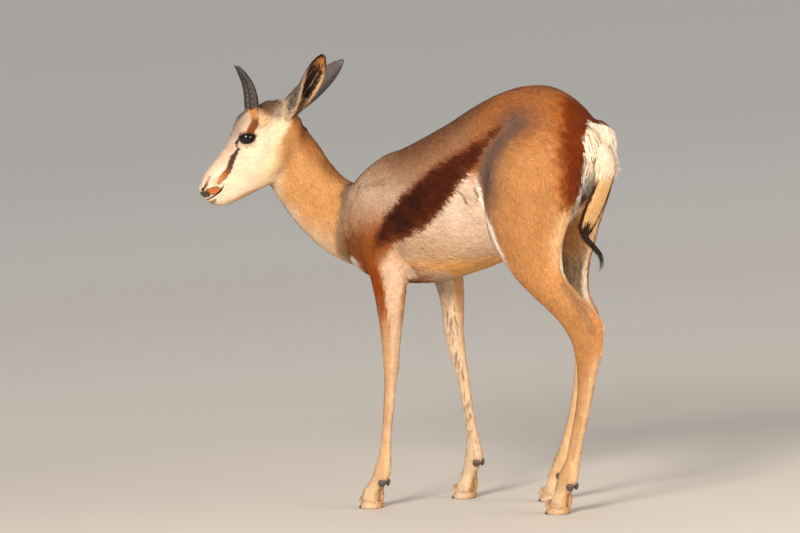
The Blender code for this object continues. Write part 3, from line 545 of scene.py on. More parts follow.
def cut_face(points, normals):
    """Nostrils, the line of the mouth with the lips beside it, and the
    groove below the eye, as moves along the normals."""
    place = in_head(points)
    place[:, 2] = np.abs(place[:, 2])
    flat = place[:, :2]
    move = np.zeros(len(points))
    far, part = line_distance(flat, NOSTRIL)
    far = far + 0.006 * ease(0.004, 0.001, place[:, 2])
    open_part = ease(0.15, 0.60, part)
    move -= (0.0008 + 0.0040 * open_part) * bump_at(far, 0.0, 0.0012 + 0.0009 * open_part)
    move += 0.0011 * open_part * bump_at(far, 0.0050, 0.0020)
    far, part = line_distance(flat, MOUTH)
    move -= 0.0024 * bump_at(far, 0.0, 0.0012) * ease(0.0, 0.12, part)
    move += 0.0008 * bump_at(far, 0.0036, 0.0020)
    move -= 0.0010 * bump_at(line_distance(flat, TEAR)[0], 0.0, 0.0022)
    middle = bump_at(place[:, 2], 0.0, 0.0012) * ease(0.196, 0.203, place[:, 0])
    move -= 0.0010 * middle * ease(0.010, 0.018, place[:, 1])
    return points + normals * (move * ease(0.07, 0.08, place[:, 0]))[:, None]


def hind_lean(x, y, z):
    """How far the right hind leg stands ahead of the left at each height."""
    return np.where(x < 0.0, HIND_LEAN * ease(0.62, 0.0, z) * ease(0.03, 0.10, y), 0.0)


def nearest_foot(points):
    """The number of the nearest foot, and the way to the point from its
    middle."""
    feet = np.array(list(FEET.values()))
    owner = np.linalg.norm(points[:, None, :2] - feet[None], axis=2).argmin(axis=1)
    return owner, points[:, :2] - feet[owner]


def carve_legs(points, normals):
    """Grooves between shank and heel tendon and down the cannons, as moves
    along the normals on the legs' sides."""
    x, y, z = points.T
    flat = np.stack([y + hind_lean(x, y, z), z], axis=1)
    broad = ease(0.35, 0.75, np.abs(normals[:, 0]))
    far, part = line_distance(flat, HOCK_GROOVE)
    move = -0.0026 * bump_at(far, 0.0, 0.0042) * broad * ease(0.0, 0.2, part) * ease(1.0, 0.85, part)
    far, part = line_distance(flat, HIND_GROOVE)
    move -= 0.0011 * bump_at(far, 0.0, 0.0024) * broad * ease(0.0, 0.1, part)
    for side, line in FORE_GROOVES:
        out_of_reach = np.where(x * side < 0.0, 9.0, 0.0)
        far, part = line_distance(np.stack([y + out_of_reach, z], axis=1), line)
        move -= 0.0010 * bump_at(far, 0.0, 0.0022) * broad * ease(0.0, 0.1, part)
    beside = nearest_foot(points)[1][:, 0]
    cleft = bump_at(beside, 0.0, 0.0026) * ease(0.3, 0.8, np.abs(normals[:, 1]))
    move -= 0.0042 * cleft * np.where(normals[:, 1] > 0.0, ease(0.046, 0.032, z), ease(0.036, 0.026, z))
    heel = ease(0.054, 0.032, z) * ease(0.05, 0.65, normals[:, 1]) * (1.0 - 0.9 * cleft)
    toe = ease(0.050, 0.032, z) * ease(-0.10, -0.70, normals[:, 1])
    return points + normals * (move + 0.0034 * heel - 0.0030 * toe)[:, None]


def coat_depth(points):
    """How far the skin lies inside the solids: least on face and feet."""
    place = in_head(points)
    ahead = ease(-0.02, 0.02, ahead_of_cut(points))
    depth = np.full(len(points), sizes().depth)
    depth = depth * (1.0 - ahead) + ahead * (0.0014 - 0.0009 * ease(0.12, 0.17, place[:, 0]))
    depth = depth * (1.0 - 0.55 * ease(0.36, 0.18, points[:, 2]))
    return depth - 0.0024 * ease(0.042, 0.024, points[:, 2])


def thinned(points, triangles, share):
    """Fewer triangles on the body, all of them on the face."""
    mesh = even_mesh("skin", points - SET, triangles)
    weight = 1.0 - ease(-0.02, 0.01, ahead_of_cut(points))

    def settle(item):
        group = item.vertex_groups.new(name="body")
        for level in (0.0, 0.5, 1.0):
            chosen = np.flatnonzero(np.round(weight * 2.0) / 2.0 == level)
            group.add(chosen.tolist(), level, "REPLACE")
        less = item.modifiers.new("less", "DECIMATE")
        less.ratio = share
        less.vertex_group = "body"

    return through_modifier(mesh, settle)


@functools.lru_cache(maxsize=None)
def body_skin():
    """Points and triangles of the body's skin in body coordinates."""
    def on_head(p):
        return ahead_of_cut(p) > -0.012

    def on_eyes_or_muzzle(p):
        return (near_eye(p, 0.030) | (in_head(p)[:, 0] > 0.150)) & (ahead_of_cut(p) > 0.0)

    points, triangles = merged_flesh()
    points, triangles = refined(points, triangles, on_head)
    points, triangles = refined(points, triangles, on_eyes_or_muzzle)
    points = polished(points, edges_of(triangles), 8)
    points = points - point_normals(points, triangles) * coat_depth(points)[:, None]
    points = open_eyes(points)
    points = cut_face(points, point_normals(points, triangles))
    points = carve_legs(points, point_normals(points, triangles))
    return thinned(points, triangles, 0.62)


def regions(points):
    """Masks of head, neck, legs and torso, by the cuts of the solids."""
    x, y, z = points.T
    head = ahead_of_cut(points) > 0.0
    neck = ~head & ((points - np.array(NECK_CUT)) @ np.array(NECK_CUT_ALONG) > 0.0)
    out = {"head": head, "neck": neck}
    for name, side in SIDES.items():
        out["foreleg_" + name] = (z < FORE_CUT) & (y < 0.03) & (x * side > 0.0) & ~neck
        hind = (z < HIND_CUT[0] + HIND_CUT[1] * np.abs(x)) & (y > HIND_FRONT) & (x * side > 0.0)
        out["hindleg_" + name] = hind
    taken = np.zeros(len(points), bool)
    for mask in out.values():
        taken |= mask
    out["torso"] = ~taken
    return out


# Markings: the flank band's upper and lower edge and the thigh's front edge
BAND_TOP = ((-0.105, 0.505), (-0.073, 0.537), (-0.031, 0.570), (0.023, 0.604),
            (0.074, 0.631), (0.1225, 0.653), (0.179, 0.678), (0.215, 0.692))
BAND_LOW = ((-0.200, 0.430), (-0.120, 0.450), (-0.095, 0.485), (-0.063, 0.492),
            (-0.036, 0.496), (0.019, 0.515), (0.073, 0.5505), (0.111, 0.591),
            (0.158, 0.635), (0.185, 0.670), (0.215, 0.692))
THIGH = ((0.380, 0.262), (0.400, 0.246), (0.424, 0.2318), (0.475, 0.2109), (0.520, 0.1935),
         (0.563, 0.1640), (0.600, 0.157), (0.635, 0.162), (0.670, 0.187), (0.692, 0.215))
RUMP = ((0.42, 0.060), (0.54, 0.061), (0.56, 0.058), (0.573, 0.053), (0.585, 0.048), (0.602, 0.0465),
        (0.620, 0.044), (0.633, 0.039), (0.645, 0.036), (0.663, 0.033), (0.680, 0.026), (0.6945, 0.001),
        (0.705, -0.020), (0.715, -0.050))
CHEST_REAR = ((0.40, -0.085), (0.4424, -0.080), (0.4638, -0.076), (0.4796, -0.066), (0.4962, -0.046),
              (0.51, -0.036))
# creases in front of the thigh, where shade is painted: y and z
CREASES = (((0.1124, 0.5805), (0.1204, 0.5749), (0.1267, 0.5603), (0.1283, 0.5567)),
           ((0.1469, 0.5868), (0.1495, 0.5759), (0.1525, 0.5686)), ((0.1525, 0.5686), (0.1468, 0.5597)))
FACE_BAND = ((0.1010, 0.0375), (0.1113, 0.0347), (0.1195, 0.0338), (0.1315, 0.0288),
             (0.1425, 0.0247), (0.1562, 0.0236), (0.1705, 0.0230))
BROW = ((0.030, 0.060), (0.045, 0.048), (0.061, 0.0440))
BROW_LINE = ((0.0415, 0.0465), (0.0475, 0.0340))
CHIN_LINE = ((0.180, -0.012), (0.150, -0.034), (0.118, -0.056))
BRISKET_Y = (-0.235, -0.208, -0.190, -0.165, -0.140, -0.112)
BRISKET_Z = (0.425, 0.446, 0.463, 0.453, 0.437, 0.412)
FACE_BAND_PART = (0.0, 0.15, 0.35, 0.50, 0.70, 0.85, 1.0)
FACE_BAND_HALF = (0.0016, 0.0034, 0.0046, 0.0049, 0.0055, 0.0052, 0.0030)
RUST_FRONT_Z = (0.15, 0.25, 0.31, 0.38, 0.43)
RUST_FRONT_EDGE = (-0.52, -0.45, -0.36, -0.14, -0.02)
# Ellipses on the head's side: middle, way of the long axis, half sizes
NOSE_PAD = ((0.2010, 0.0262), (0.55, 0.83), (0.0082, 0.0058))
LIP = ((0.1865, 0.0196), (0.75, 0.66), (0.0118, 0.0060))
# the chin's painted shadow below the lip:
CHIN = ((0.2010, 0.0065), (1.0, 0.0), (0.0060, 0.0036))
BAND_GLOW = ((0.1585, 0.0250), (1.0, 0.1), (0.0100, 0.0050))
BAND_END = ((0.1700, 0.0250), (1.0, 0.0), (0.0120, 0.0085))
BELOW_EYE = ((0.0850, 0.0262), (0.74, 0.67), (0.0150, 0.0034))
RUMP_WHITE = (0.90, 0.74, 0.58)
# fold at the neck's base, where shade is painted: x, y, z
NECK_BASE = ((0.006, -0.214, 0.594), (0.031, -0.208, 0.579), (0.047, -0.197, 0.562),
             (0.056, -0.203, 0.527), (0.054, -0.214, 0.490), (0.049, -0.213, 0.468), (0.036, -0.207, 0.450))
CHEEK_EDGE = ((-0.080, 0.110), (-0.070, 0.106), (-0.052, 0.095), (-0.028, 0.084),
              (-0.015, 0.066), (-0.004, 0.022), (0.010, 0.000), (0.030, -0.006), (0.060, -0.012))


def waves(points, size, seed):
    """Smooth noise of about unit strength: a sum of sixteen plane waves of
    about the given length in seeded directions."""
    draw = np.random.default_rng(seed)
    ways = unit(draw.normal(size=(16, 3))) * draw.uniform(0.6, 1.6, (16, 1)) * (2.0 * math.pi / size)
    starts = draw.uniform(0.0, 2.0 * math.pi, 16)
    return np.sin(points @ ways.T + starts).sum(axis=1) / math.sqrt(8.0)


def read_off(table, at):
    """The table's second column at a value of its first."""
    table = np.array(table)
    return np.interp(at, table[:, 0], table[:, 1])


def lay(tint, name, share):
    """A colour laid over the tint by a share for each row."""
    return mix(tint, np.broadcast_to(colour(name), tint.shape), np.clip(share, 0.0, 1.0))


def in_rump(points):
    """How far inside the white of the rump a point lies, negative outside:
    the white's half width at its height, and more behind."""
    x, y, z = points.T
    behind = 0.5 * np.clip(y - 0.362, 0.0, 0.03)
    return read_off(RUMP, z) + behind - np.abs(x) - 0.5 * ease(0.345, 0.325, y)


def back_tint(y, z, normals, jag, thigh):
    """Shoulder and back, fawn behind, deep over the hips; a painted grey sheen on the shoulder, painted
    shade where the back faces up, and a painted grey shade in front of the thigh."""
    tint = all_over("back", len(y))
    # painted sheen: the shoulder's upper part paler and greyer
    tint = lay(tint, (0.52, 0.38, 0.28), 0.85 * ease(0.66, 0.57, z) * ease(0.05, -0.08, y))
    tint = lay(tint, (0.36, 0.16, 0.065), 0.72 * ease(0.59, 0.52, z) * ease(-0.05, -0.11, y))
    # painted shade: darker where the back faces up
    tint = lay(tint, (0.135, 0.048, 0.018), 0.85 * ease(0.15, 0.75, normals[:, 2]) * ease(-0.16, -0.05, y))
    tint = lay(tint, "fawn", ease(0.16, 0.24, y + jag * 4.0))
    tint = lay(tint, "croup", ease(0.615, 0.72, z + jag * 3.0) * ease(0.1, 0.19, y))
    # painted shade and sheen: a dark grey strip in front of the thigh
    grey = bump_at(thigh, 0.026, 0.041) * ease(0.53, 0.6, z) * ease(0.745, 0.695, z)
    return lay(tint, (0.095, 0.06, 0.055), 0.88 * grey)


def belly_tint(tint, y, z, normals, jag, fine, thigh, ahead):
    """Pale belly below the flank band with the shade of its underside, painted shade in the fold behind the
    elbow, and a white line down the thigh's front."""
    low = read_off(BAND_LOW, y)
    under = ease(0.004, -0.004, z - low + jag + fine) * ease(0.004, -0.004, thigh - jag - fine)
    under = under * ease(0.628, 0.606, z + jag * 2.0)
    under = np.maximum(under, ease(-0.45, -0.75, normals[:, 2]) * ease(0.56, 0.5, z))
    tint = lay(tint, (0.68, 0.5, 0.38), under)
    nook = ease(0.13, 0.155, y) * ease(0.585, 0.61, z + jag * 2.0) * ease(0.7, 0.66, z) * ahead
    tint = lay(tint, (0.34, 0.115, 0.03), 0.9 * nook)
    shade = under * ease(0.565, 0.465, z + 0.25 * y)
    tint = lay(tint, (0.58, 0.345, 0.185), 0.8 * shade)
    tint = lay(tint, (0.86, 0.43, 0.12), 0.85 * under * ease(0.466, 0.438, z) * ease(-0.11, -0.08, y))
    # painted shade in the muscle fold behind the elbow
    fold = under * bump_at(y, -0.042, 0.022) * bump_at(z, 0.487, 0.03)
    tint = lay(tint, (0.28, 0.19, 0.13), 0.5 * fold)
    # greyish speckled patch behind the elbow: thin hair with painted shade
    elbow = under * bump_at(y, 0.01, 0.032) * bump_at(z, 0.478, 0.028)
    tint = lay(tint, (0.22, 0.14, 0.09), 0.6 * elbow * (0.6 + 0.4 * np.tanh(fine * 900.0)))
    line = bump_at(thigh, -0.005, 0.0065) * ease(0.62, 0.57, z) * ease(0.37, 0.42, z)
    return lay(tint, (0.86, 0.78, 0.7), 0.95 * line)


def chest_tint(tint, side, y, z, jag, fine, ahead):
    """Painted shade in the skin's creases in front of the thigh, and the rusty shoulder front."""
    # painted shade along each crease
    for crease in CREASES:
        near = ease(0.0036, 0.001, line_distance(np.stack([y, z], axis=1), crease)[0])
        tint = lay(tint, (0.2, 0.11, 0.06), 0.8 * ahead * near * ease(0.03, 0.05, side))
    chest = ease(0.425, 0.445, z + jag) * ease(0.545, 0.495, z + jag * 2.0 - 0.25 * (y + 0.12))
    chest = chest * ease(-0.232, -0.19, y) * ease(0.02, 0.04, side)
    chest = chest * ease(0.01, -0.01, y + jag + fine - read_off(CHEST_REAR, z))
    tint = lay(tint, (0.25, 0.062, 0.008), 0.95 * chest)
    return lay(tint, (0.13, 0.04, 0.01), 0.5 * chest * ease(-0.125, -0.175, y))


def band_tint(tint, points, side, y, z, jag, fine, ahead):
    """The dark band along the flank, with a brown fringe and a darker core."""
    low, top = read_off(BAND_LOW, y), read_off(BAND_TOP, y)
    band = ease(-0.005, 0.005, z - low + jag + fine) * ease(-0.005, 0.005, top - z + jag - fine)
    band = band * ease(-0.112, -0.08, y) * ahead * ease(0.02, 0.04, side)
    fringe = ease(-0.012, 0.002, z - low + fine * 1.5) * ease(-0.017, 0.003, top - z + fine * 2.0)
    fringe = fringe * ease(-0.112, -0.08, y) * ahead * ease(0.02, 0.04, side)
    tint = lay(tint, (0.16, 0.045, 0.014), 0.75 * fringe)
    core = np.minimum(ease(-0.004, 0.014, z - low + jag), ease(-0.004, 0.016, top - z + jag))
    tint = lay(tint, (0.1, 0.02, 0.006), band)
    tint = lay(tint, "stripe", band * core * (0.8 + 0.2 * np.tanh(fine * 700.0)))
    patch = ease(-0.7, 0.9, waves(points * (1.0, 0.7, 1.3), 0.045, 13)) * ease(0.12, -0.02, y)
    tint = lay(tint, (0.016, 0.004, 0.002), 0.75 * band * core * patch)
    return lay(tint, (0.12, 0.03, 0.008), 0.6 * band * ease(0.018, 0.004, z - low + jag * 2.0))


def brisket_tint(tint, side, y, z, jag):
    """White between the forelegs, with a brown line over it."""
    line = np.interp(y, BRISKET_Y, BRISKET_Z)
    inner = ease(0.07, 0.05, side)
    shade = bump_at(z, line + 0.002, 0.005) * ease(-0.14, -0.17, y)
    tint = lay(tint, (0.13, 0.06, 0.03), 0.6 * shade * inner)
    patch = ease(0.006, -0.004, z - line + jag) * ease(-0.1, -0.125, y)
    return lay(tint, (0.88, 0.8, 0.7), 0.9 * patch * inner)


def rump_tint(tint, points, side, y, z, normals, jag, fine):
    """Tan behind the thigh, the dark rump band and the white rump, painted brighter low down in place of
    light.
    """
    edge = y - (0.3 + 0.7 * side) + jag * 1.5 + fine * 1.2
    low_end = ease(0.528, 0.582, z + jag * 3.0)
    tint = lay(tint, (0.76, 0.49, 0.26), 0.75 * ease(0.3, 0.8, normals[:, 1]) * ease(0.56, 0.525, z))
    tint = lay(tint, (0.3, 0.085, 0.014), 0.9 * ease(-0.04, 0.004, edge) * low_end)
    tint = lay(tint, (0.125, 0.019, 0.001), 0.97 * ease(-0.016, 0.016, edge) * low_end)
    patch = ease(-0.003, 0.004, in_rump(points) + fine * 2.0)
    tint = lay(tint, RUMP_WHITE, patch)
    # painted light: the white brighter low down, in the nook by the tail where shade falls
    return lay(tint, (1.0, 0.95, 0.88), patch * ease(0.625, 0.585, z))


def trunk_tint(points, normals):
    """The trunk's markings, each laid over the ones before it."""
    x, y, z = points.T
    side = np.abs(x)
    y = y + hind_lean(x, y, z)
    jag = waves(points * (1.0, 0.6, 1.6), 0.016, 11) * 0.0022
    fine = waves(points * (0.7, 0.5, 2.2), 0.007, 12) * 0.0016
    thigh = y - read_off(THIGH, z)
    ahead = ease(0.003, -0.003, thigh - jag * 0.5 - fine)
    tint = back_tint(y, z, normals, jag, thigh)
    tint = belly_tint(tint, y, z, normals, jag, fine, thigh, ahead)
    tint = chest_tint(tint, side, y, z, jag, fine, ahead)
    tint = band_tint(tint, points, side, y, z, jag, fine, ahead)
    tint = brisket_tint(tint, side, y, z, jag)
    return rump_tint(tint, points, side, y, z, normals, jag, fine)


def from_neck_base(points):
    """Distance to the fold at the neck's base, and how far along it."""
    x, y, z = points.T
    return line_distance(np.stack([np.abs(x), y, z], axis=1), NECK_BASE)


def neck_tint(points, normals):
    """Orange fawn, deeper along the nape, with painted shade in the fold at its base."""
    tint = all_over(colour("neck") * 0.93, len(points))
    blot = waves(points, 0.05, 21)
    nape = ease(0.35, 0.95, normals @ unit(np.array([-0.45, 0.75, 0.45])) + 0.1 * blot)
    tint = lay(tint, "croup", 0.85 * nape)
    throat = ease(0.1, 1.1, normals @ unit(np.array([0.35, -0.85, -0.4])) + 0.03 * blot)
    tint = lay(tint, (0.86, 0.68, 0.5), throat)
    far, part = from_neck_base(points)
    # painted shade in the fold at the neck's base, darkest at its upper end
    tint = lay(tint, (0.2, 0.115, 0.062), 0.85 * ease(0.02, 0.006, far))
    return lay(tint, "dark", 0.8 * ease(0.013, 0.004, far) * ease(0.4, 0.0, part))


def eye_reach(points):
    """For each point how far outside the lids' almond it lies, 1 at the rim,
    and how far above the slit."""
    reach = np.full(len(points), 99.0)
    over_it = np.zeros(len(points))
    for side in SIDES.values():
        centre, look, along, over = eye_axes(side)
        ray = points - centre
        a = (ray @ along - EYE_FORWARD) / EYE_OPEN[0]
        b = ray @ over / EYE_OPEN[1]
        q = a * a + np.abs(b) ** 1.6
        near = (ray @ look > 0.3 * EYE_RADIUS) & (q < reach)
        reach = np.where(near, q, reach)
        over_it = np.where(near, b, over_it)
    return reach, over_it


def spot(flat, middle, way, half):
    """For points on a plane how far out they lie of an ellipse, 1 at its
    edge, from its middle, the way of its long axis and its half sizes."""
    way = unit(np.array(way, float))
    ray = flat - np.array(middle)
    return np.hypot(ray @ way / half[0], ray @ np.array([way[1], -way[0]]) / half[1])


def crown_tint(tint, place, s, jag):
    """Brown crown with paler streaks, painted grey shade on the forehead between the horns, and an orange
    fan behind the eye."""
    u, v = place[:, 0], place[:, 1]
    crown = ease(0.034, 0.016, u) * ease(0.022, 0.036, v + jag * 4.0) * ease(-0.026, -0.01, u)
    streak = waves(place * (0.25, 1.0, 1.0), 0.0065, 35)
    tint = lay(tint, (0.095, 0.042, 0.02), 0.95 * crown)
    tint = lay(tint, (0.36, 0.2, 0.1), 0.65 * crown * ease(0.3, 1.2, streak) * ease(0.05, 0.036, v))
    # painted shade: grey on the forehead's far side between the horns
    top = ease(0.021, 0.008, s) * bump_at(u, 0.048, 0.023) * ease(0.034, 0.046, v)
    tint = lay(tint, (0.11, 0.085, 0.082), 0.88 * top)
    root = bump_at(u, 0.006, 0.013) * bump_at(v, 0.024, 0.011) * ease(0.022, 0.03, s)
    tint = lay(tint, (0.2, 0.15, 0.13), 0.9 * root)
    fan = bump_at(u, 0.034, 0.013) * bump_at(v, 0.036, 0.012) * ease(0.02, 0.028, s)
    tint = lay(tint, (0.62, 0.36, 0.15), 0.8 * fan)
    return lay(tint, (0.16, 0.07, 0.026), 0.75 * fan * ease(0.2, 1.0, -streak))


def brow_tint(tint, flat, s, beside):
    """Brown brow, and the dark groove below the eye."""
    far, part = line_distance(flat, BROW)
    brow = ease(0.0082, 0.005, far - 0.0012 * (2.0 * part - 1.0) ** 2) * ease(0.012, 0.02, s)
    tint = lay(tint, (0.46, 0.19, 0.05), 0.9 * brow)
    tint = lay(tint, (0.15, 0.038, 0.009), 0.9 * brow * ease(0.22, 0.5, part))
    tint = lay(tint, (0.24, 0.065, 0.014), 0.8 * brow * ease(0.7, 0.9, part))
    far, part = line_distance(flat, BROW_LINE)
    brow = ease(0.0034, 0.001, far) * ease(0.012, 0.02, s) * ease(1.0, 0.7, part)
    tint = lay(tint, (0.1, 0.038, 0.016), 0.65 * brow)
    return lay(tint, "dark", 0.95 * ease(0.0026, 0.0012, line_distance(flat, TEAR)[0]) * beside)


def face_band_tint(tint, flat, beside):
    """The brown band from the eye to the mouth, paler at its end."""
    far, part = line_distance(flat, smooth_line(FACE_BAND, 28))
    half = np.interp(part, FACE_BAND_PART, FACE_BAND_HALF)
    band = ease(0.0019, -0.0015, far - half) * beside
    deep = lay(all_over((0.045, 0.011, 0.004), len(flat)), (0.22, 0.06, 0.012),
               ease(0.45, 0.85, part))
    tint = mix(tint, deep, 0.96 * band)
    tint = lay(tint, (0.42, 0.17, 0.045), 0.85 * ease(1.25, 0.6, spot(flat, *BAND_GLOW)) * beside)
    return lay(tint, (0.5, 0.27, 0.12), 0.45 * ease(1.3, 0.5, spot(flat, *BAND_END)) * beside)


def muzzle_tint(tint, points, flat, s, jag, beside):
    """Orange lip with a dark rim, dark nose pad, mouth and nostrils, and a painted shadow below the lip."""
    lip = spot(flat, *LIP) + jag * 200.0
    tint = lay(tint, (0.1, 0.032, 0.012), ease(1.3, 1.12, lip) * beside)
    tint = lay(tint, (0.5, 0.15, 0.038), ease(1.08, 0.9, lip) * beside)
    fleck = ease(0.2, 1.0, waves(points, 0.004, 33))
    tint = lay(tint, (0.26, 0.075, 0.022), 0.7 * ease(1.0, 0.8, lip) * beside * fleck)
    tint = lay(tint, (0.05, 0.024, 0.018), 0.95 * ease(1.15, 0.9, spot(flat, *NOSE_PAD)))
    far, part = line_distance(flat, MOUTH)
    tint = lay(tint, "dark", ease(0.0022, 0.001, far) * ease(0.0, 0.1, part))
    far, part = line_distance(flat, NOSTRIL)
    far = far + 0.006 * ease(0.004, 0.001, s)
    tint = lay(tint, "dark", ease(0.0032, 0.0014, far) * ease(0.1, 0.45, part))
    tint = lay(tint, (0.3, 0.16, 0.11), 0.7 * ease(0.003, 0.001, far) * ease(0.6, 0.2, part))
    # painted shadow on the chin below the lip
    return lay(tint, (0.2, 0.11, 0.06), 0.7 * ease(1.3, 0.7, spot(flat, *CHIN)))


def lid_tint(tint, points, flat):
    """Dark lids with a brown edge above, and flecks below the eye."""
    reach, over_it = eye_reach(points)
    fleck = ease(0.1, 0.9, waves(points, 0.0035, 34))
    below = ease(1.5, 0.6, spot(flat, *BELOW_EYE))
    tint = lay(tint, (0.1, 0.05, 0.032), 0.75 * fleck * below)
    rim = ease(1.62, 1.25, reach + 0.18 * ease(0.3, -0.3, over_it))
    tint = lay(tint, "dark", rim)
    lid = ease(2.4, 1.5, reach) * ease(-0.2, 0.3, over_it) * (1.0 - rim)
    return lay(tint, (0.2, 0.085, 0.04), 0.75 * lid)


def head_tint(points, normals):
    """White face with its markings and some painted shade laid over it, and the neck's colour behind the
    cheek."""
    place = in_head(points)
    u, v, s = place[:, 0], place[:, 1], np.abs(place[:, 2])
    jag = waves(points, 0.009, 31) * 0.00025
    flat = place[:, :2] + jag[:, None]
    beside = ease(0.006, 0.011, s)
    tint = all_over("white", len(points))
    tint = lay(tint, (0.6, 0.44, 0.36), 0.35 * ease(0.1, 0.14, u) * ease(0.016, 0.03, v))
    tint = lay(tint, "cream", 0.5 * ease(0.01, -0.04, v) * ease(0.16, 0.1, u))
    # painted shade: greyish along the top of the nose
    tint = lay(tint, (0.5, 0.35, 0.28), 0.65 * ease(0.026, 0.048, v) * ease(0.2, 0.1, u))
    far = line_distance(place[:, :2], CHIN_LINE)[0]
    tint = lay(tint, (0.55, 0.29, 0.12), 0.75 * ease(0.01, 0.002, far) * ease(0.018, 0.008, s))
    behind = read_off(CHEEK_EDGE, v) - u
    back = ease(-0.012, 0.042, behind + jag * 6.0)
    tint = lay(tint, (0.88, 0.67, 0.42), 0.8 * ease(-0.05, 0.0, behind) * ease(0.035, 0.0, v))
    tint = mix(tint, neck_tint(points, normals), back)
    tint = crown_tint(tint, place, s, jag)
    tint = brow_tint(tint, flat, s, beside)
    tint = face_band_tint(tint, flat, beside)
    tint = muzzle_tint(tint, points, flat, s, jag, beside)
    return lid_tint(tint, points, flat)


def leg_tint(points, normals, fore):
    """Pale legs: the fore with a rusty front and white behind it outside, the hind fawn outside with white
    lines along both edges, painted shade in its grooves, and dark hair with painted shade on its upper
    inner side."""
    x, y, z = points.T
    out = normals[:, 0] * np.sign(x)
    ahead = -normals[:, 1]
    speck = waves(points * (1.5, 1.5, 0.4), 0.01, 41)
    tint = all_over("cream", len(points))
    if fore:
        tint = lay(tint, (0.66, 0.44, 0.3), ease(-0.1, 0.4, out) * ease(0.1, 0.33, z))
        tint = lay(tint, (0.7, 0.56, 0.42), 0.6 * ease(0.0, -0.5, out))
        streak = ease(-0.25, -0.7, out) * ease(0.45, -0.05, ahead) * ease(-0.3, 1.5, speck)
        tint = lay(tint, (0.17, 0.115, 0.08), 0.7 * streak * ease(0.06, 0.12, z) * ease(0.42, 0.36, z))
        border = np.interp(z, RUST_FRONT_Z, RUST_FRONT_EDGE)
        front = ease(-0.14, 0.14, ahead + 0.03 * speck - border) * ease(-0.55, -0.15, out)
        tint = lay(tint, (0.62, 0.36, 0.18), front * (0.1 + 0.8 * ease(0.06, 0.28, z)))
        tint = lay(tint, (0.265, 0.055, 0.006), front * ease(0.29, 0.4, z + 0.01 * speck))
        heel = ease(0.45, 0.85, -ahead) * ease(0.3, 0.38, z) * ease(0.4, 0.0, out)
        tint = lay(tint, (0.5, 0.22, 0.075), 0.8 * heel)
    else:
        tint = lay(tint, "fawn", ease(-0.45, 0.15, out) * (0.35 + 0.65 * ease(0.06, 0.3, z)))
        lean = np.where(x < 0.0, HIND_LEAN * ease(0.62, 0.0, z), 0.0)
        # painted shade along the groove in front of the heel tendon
        far = line_distance(np.stack([y + lean + 0.004, z], axis=1), HOCK_GROOVE)[0]
        tint = lay(tint, (0.215, 0.12, 0.065), 0.62 * ease(0.011, 0.001, far) * ease(0.0, 0.3, out))
        # painted shade along the groove down the hind cannon
        far = line_distance(np.stack([y + lean, z], axis=1), HIND_GROOVE)[0]
        tint = lay(tint, (0.3, 0.165, 0.08), 0.35 * ease(0.005, 0.001, far))
        tint = lay(tint, "cream", 0.6 * ease(0.0, 0.6, -ahead) * ease(0.3, 0.26, z) * ease(0.0, 0.3, out))
        # dark streaky hair on the inner thigh, made darker by painted shade
        inner = (0.7 + 0.18 * np.tanh(speck)) * ease(0.0, -0.5, out)
        tint = lay(tint, (0.11, 0.08, 0.055), inner * ease(0.34, 0.42, z) * ease(0.56, 0.5, z))
        streak = ease(0.2, 0.75, ahead) * ease(0.2, 1.2, speck)
        tint = lay(tint, (0.16, 0.1, 0.065), 0.5 * streak * ease(0.36, 0.3, z) * ease(0.06, 0.12, z))
        behind = -0.4 * out - 0.92 * ahead
        edge = np.maximum(ease(0.66, 0.88, ahead) * ease(0.46, 0.42, z) * ease(0.3, 0.36, z),
                          ease(0.88, 0.96, behind) * ease(0.57, 0.52, z) * ease(0.31, 0.34, z))
        tint = lay(tint, (0.9, 0.76, 0.62), 0.95 * edge)
        tint = lay(tint, "cream", 0.7 * ease(0.7, 0.93, behind) * ease(0.33, 0.29, z))
    low = ease(0.06, 0.035, z)
    tint = lay(tint, "white", 0.4 * low)
    return lay(tint, (0.55, 0.29, 0.11), 0.75 * ease(0.2, 0.9, -ahead) * low)


def coat_tint(points, normals):
    """Colour of the coat at points of the skin, with their normals."""
    tint = trunk_tint(points, normals)
    y, z = points[:, 1:].T
    front = y < 0.03
    legs = np.where(front[:, None], leg_tint(points, normals, True), leg_tint(points, normals, False))
    share = np.where(front, ease(0.475, 0.445, z + 0.35 * np.clip(y + 0.06, 0.0, 1.0)),
                     ease(0.5, 0.42, z))
    share = share * np.where(front, 1.0, ease(0.0, 0.02, y - read_off(THIGH, np.minimum(z, 0.6)) + 0.02))
    share = share * np.where(front, ease(-0.195, -0.165, y), 1.0)
    share = np.where(z < 0.4, 1.0, share * (y > HIND_FRONT - 0.01) + share * front)
    tint = mix(tint, legs, share)
    tint = mix(tint, neck_tint(points, normals),
               ease(-0.008, 0.006, (points - np.array(NECK_CUT)) @ unit(np.array(NECK_CUT_ALONG))))
    ahead = ease(-0.016, 0.004, ahead_of_cut(points))
    tint = mix(tint, head_tint(points, normals), ahead)
    far, part = from_neck_base(points)
    # painted shade in the fold between neck and shoulder, on the trunk's side
    tint = lay(tint, (0.235, 0.155, 0.1), 0.72 * ease(0.015, 0.003, far) * ease(0.0, 0.1, part))
    blot = waves(points, 0.045, 51) * 0.035 + waves(points * (1.0, 0.5, 1.0), 0.012, 52) * 0.03
    return np.clip(tint * (1.0 + blot[:, None]), 0.0, 1.0)


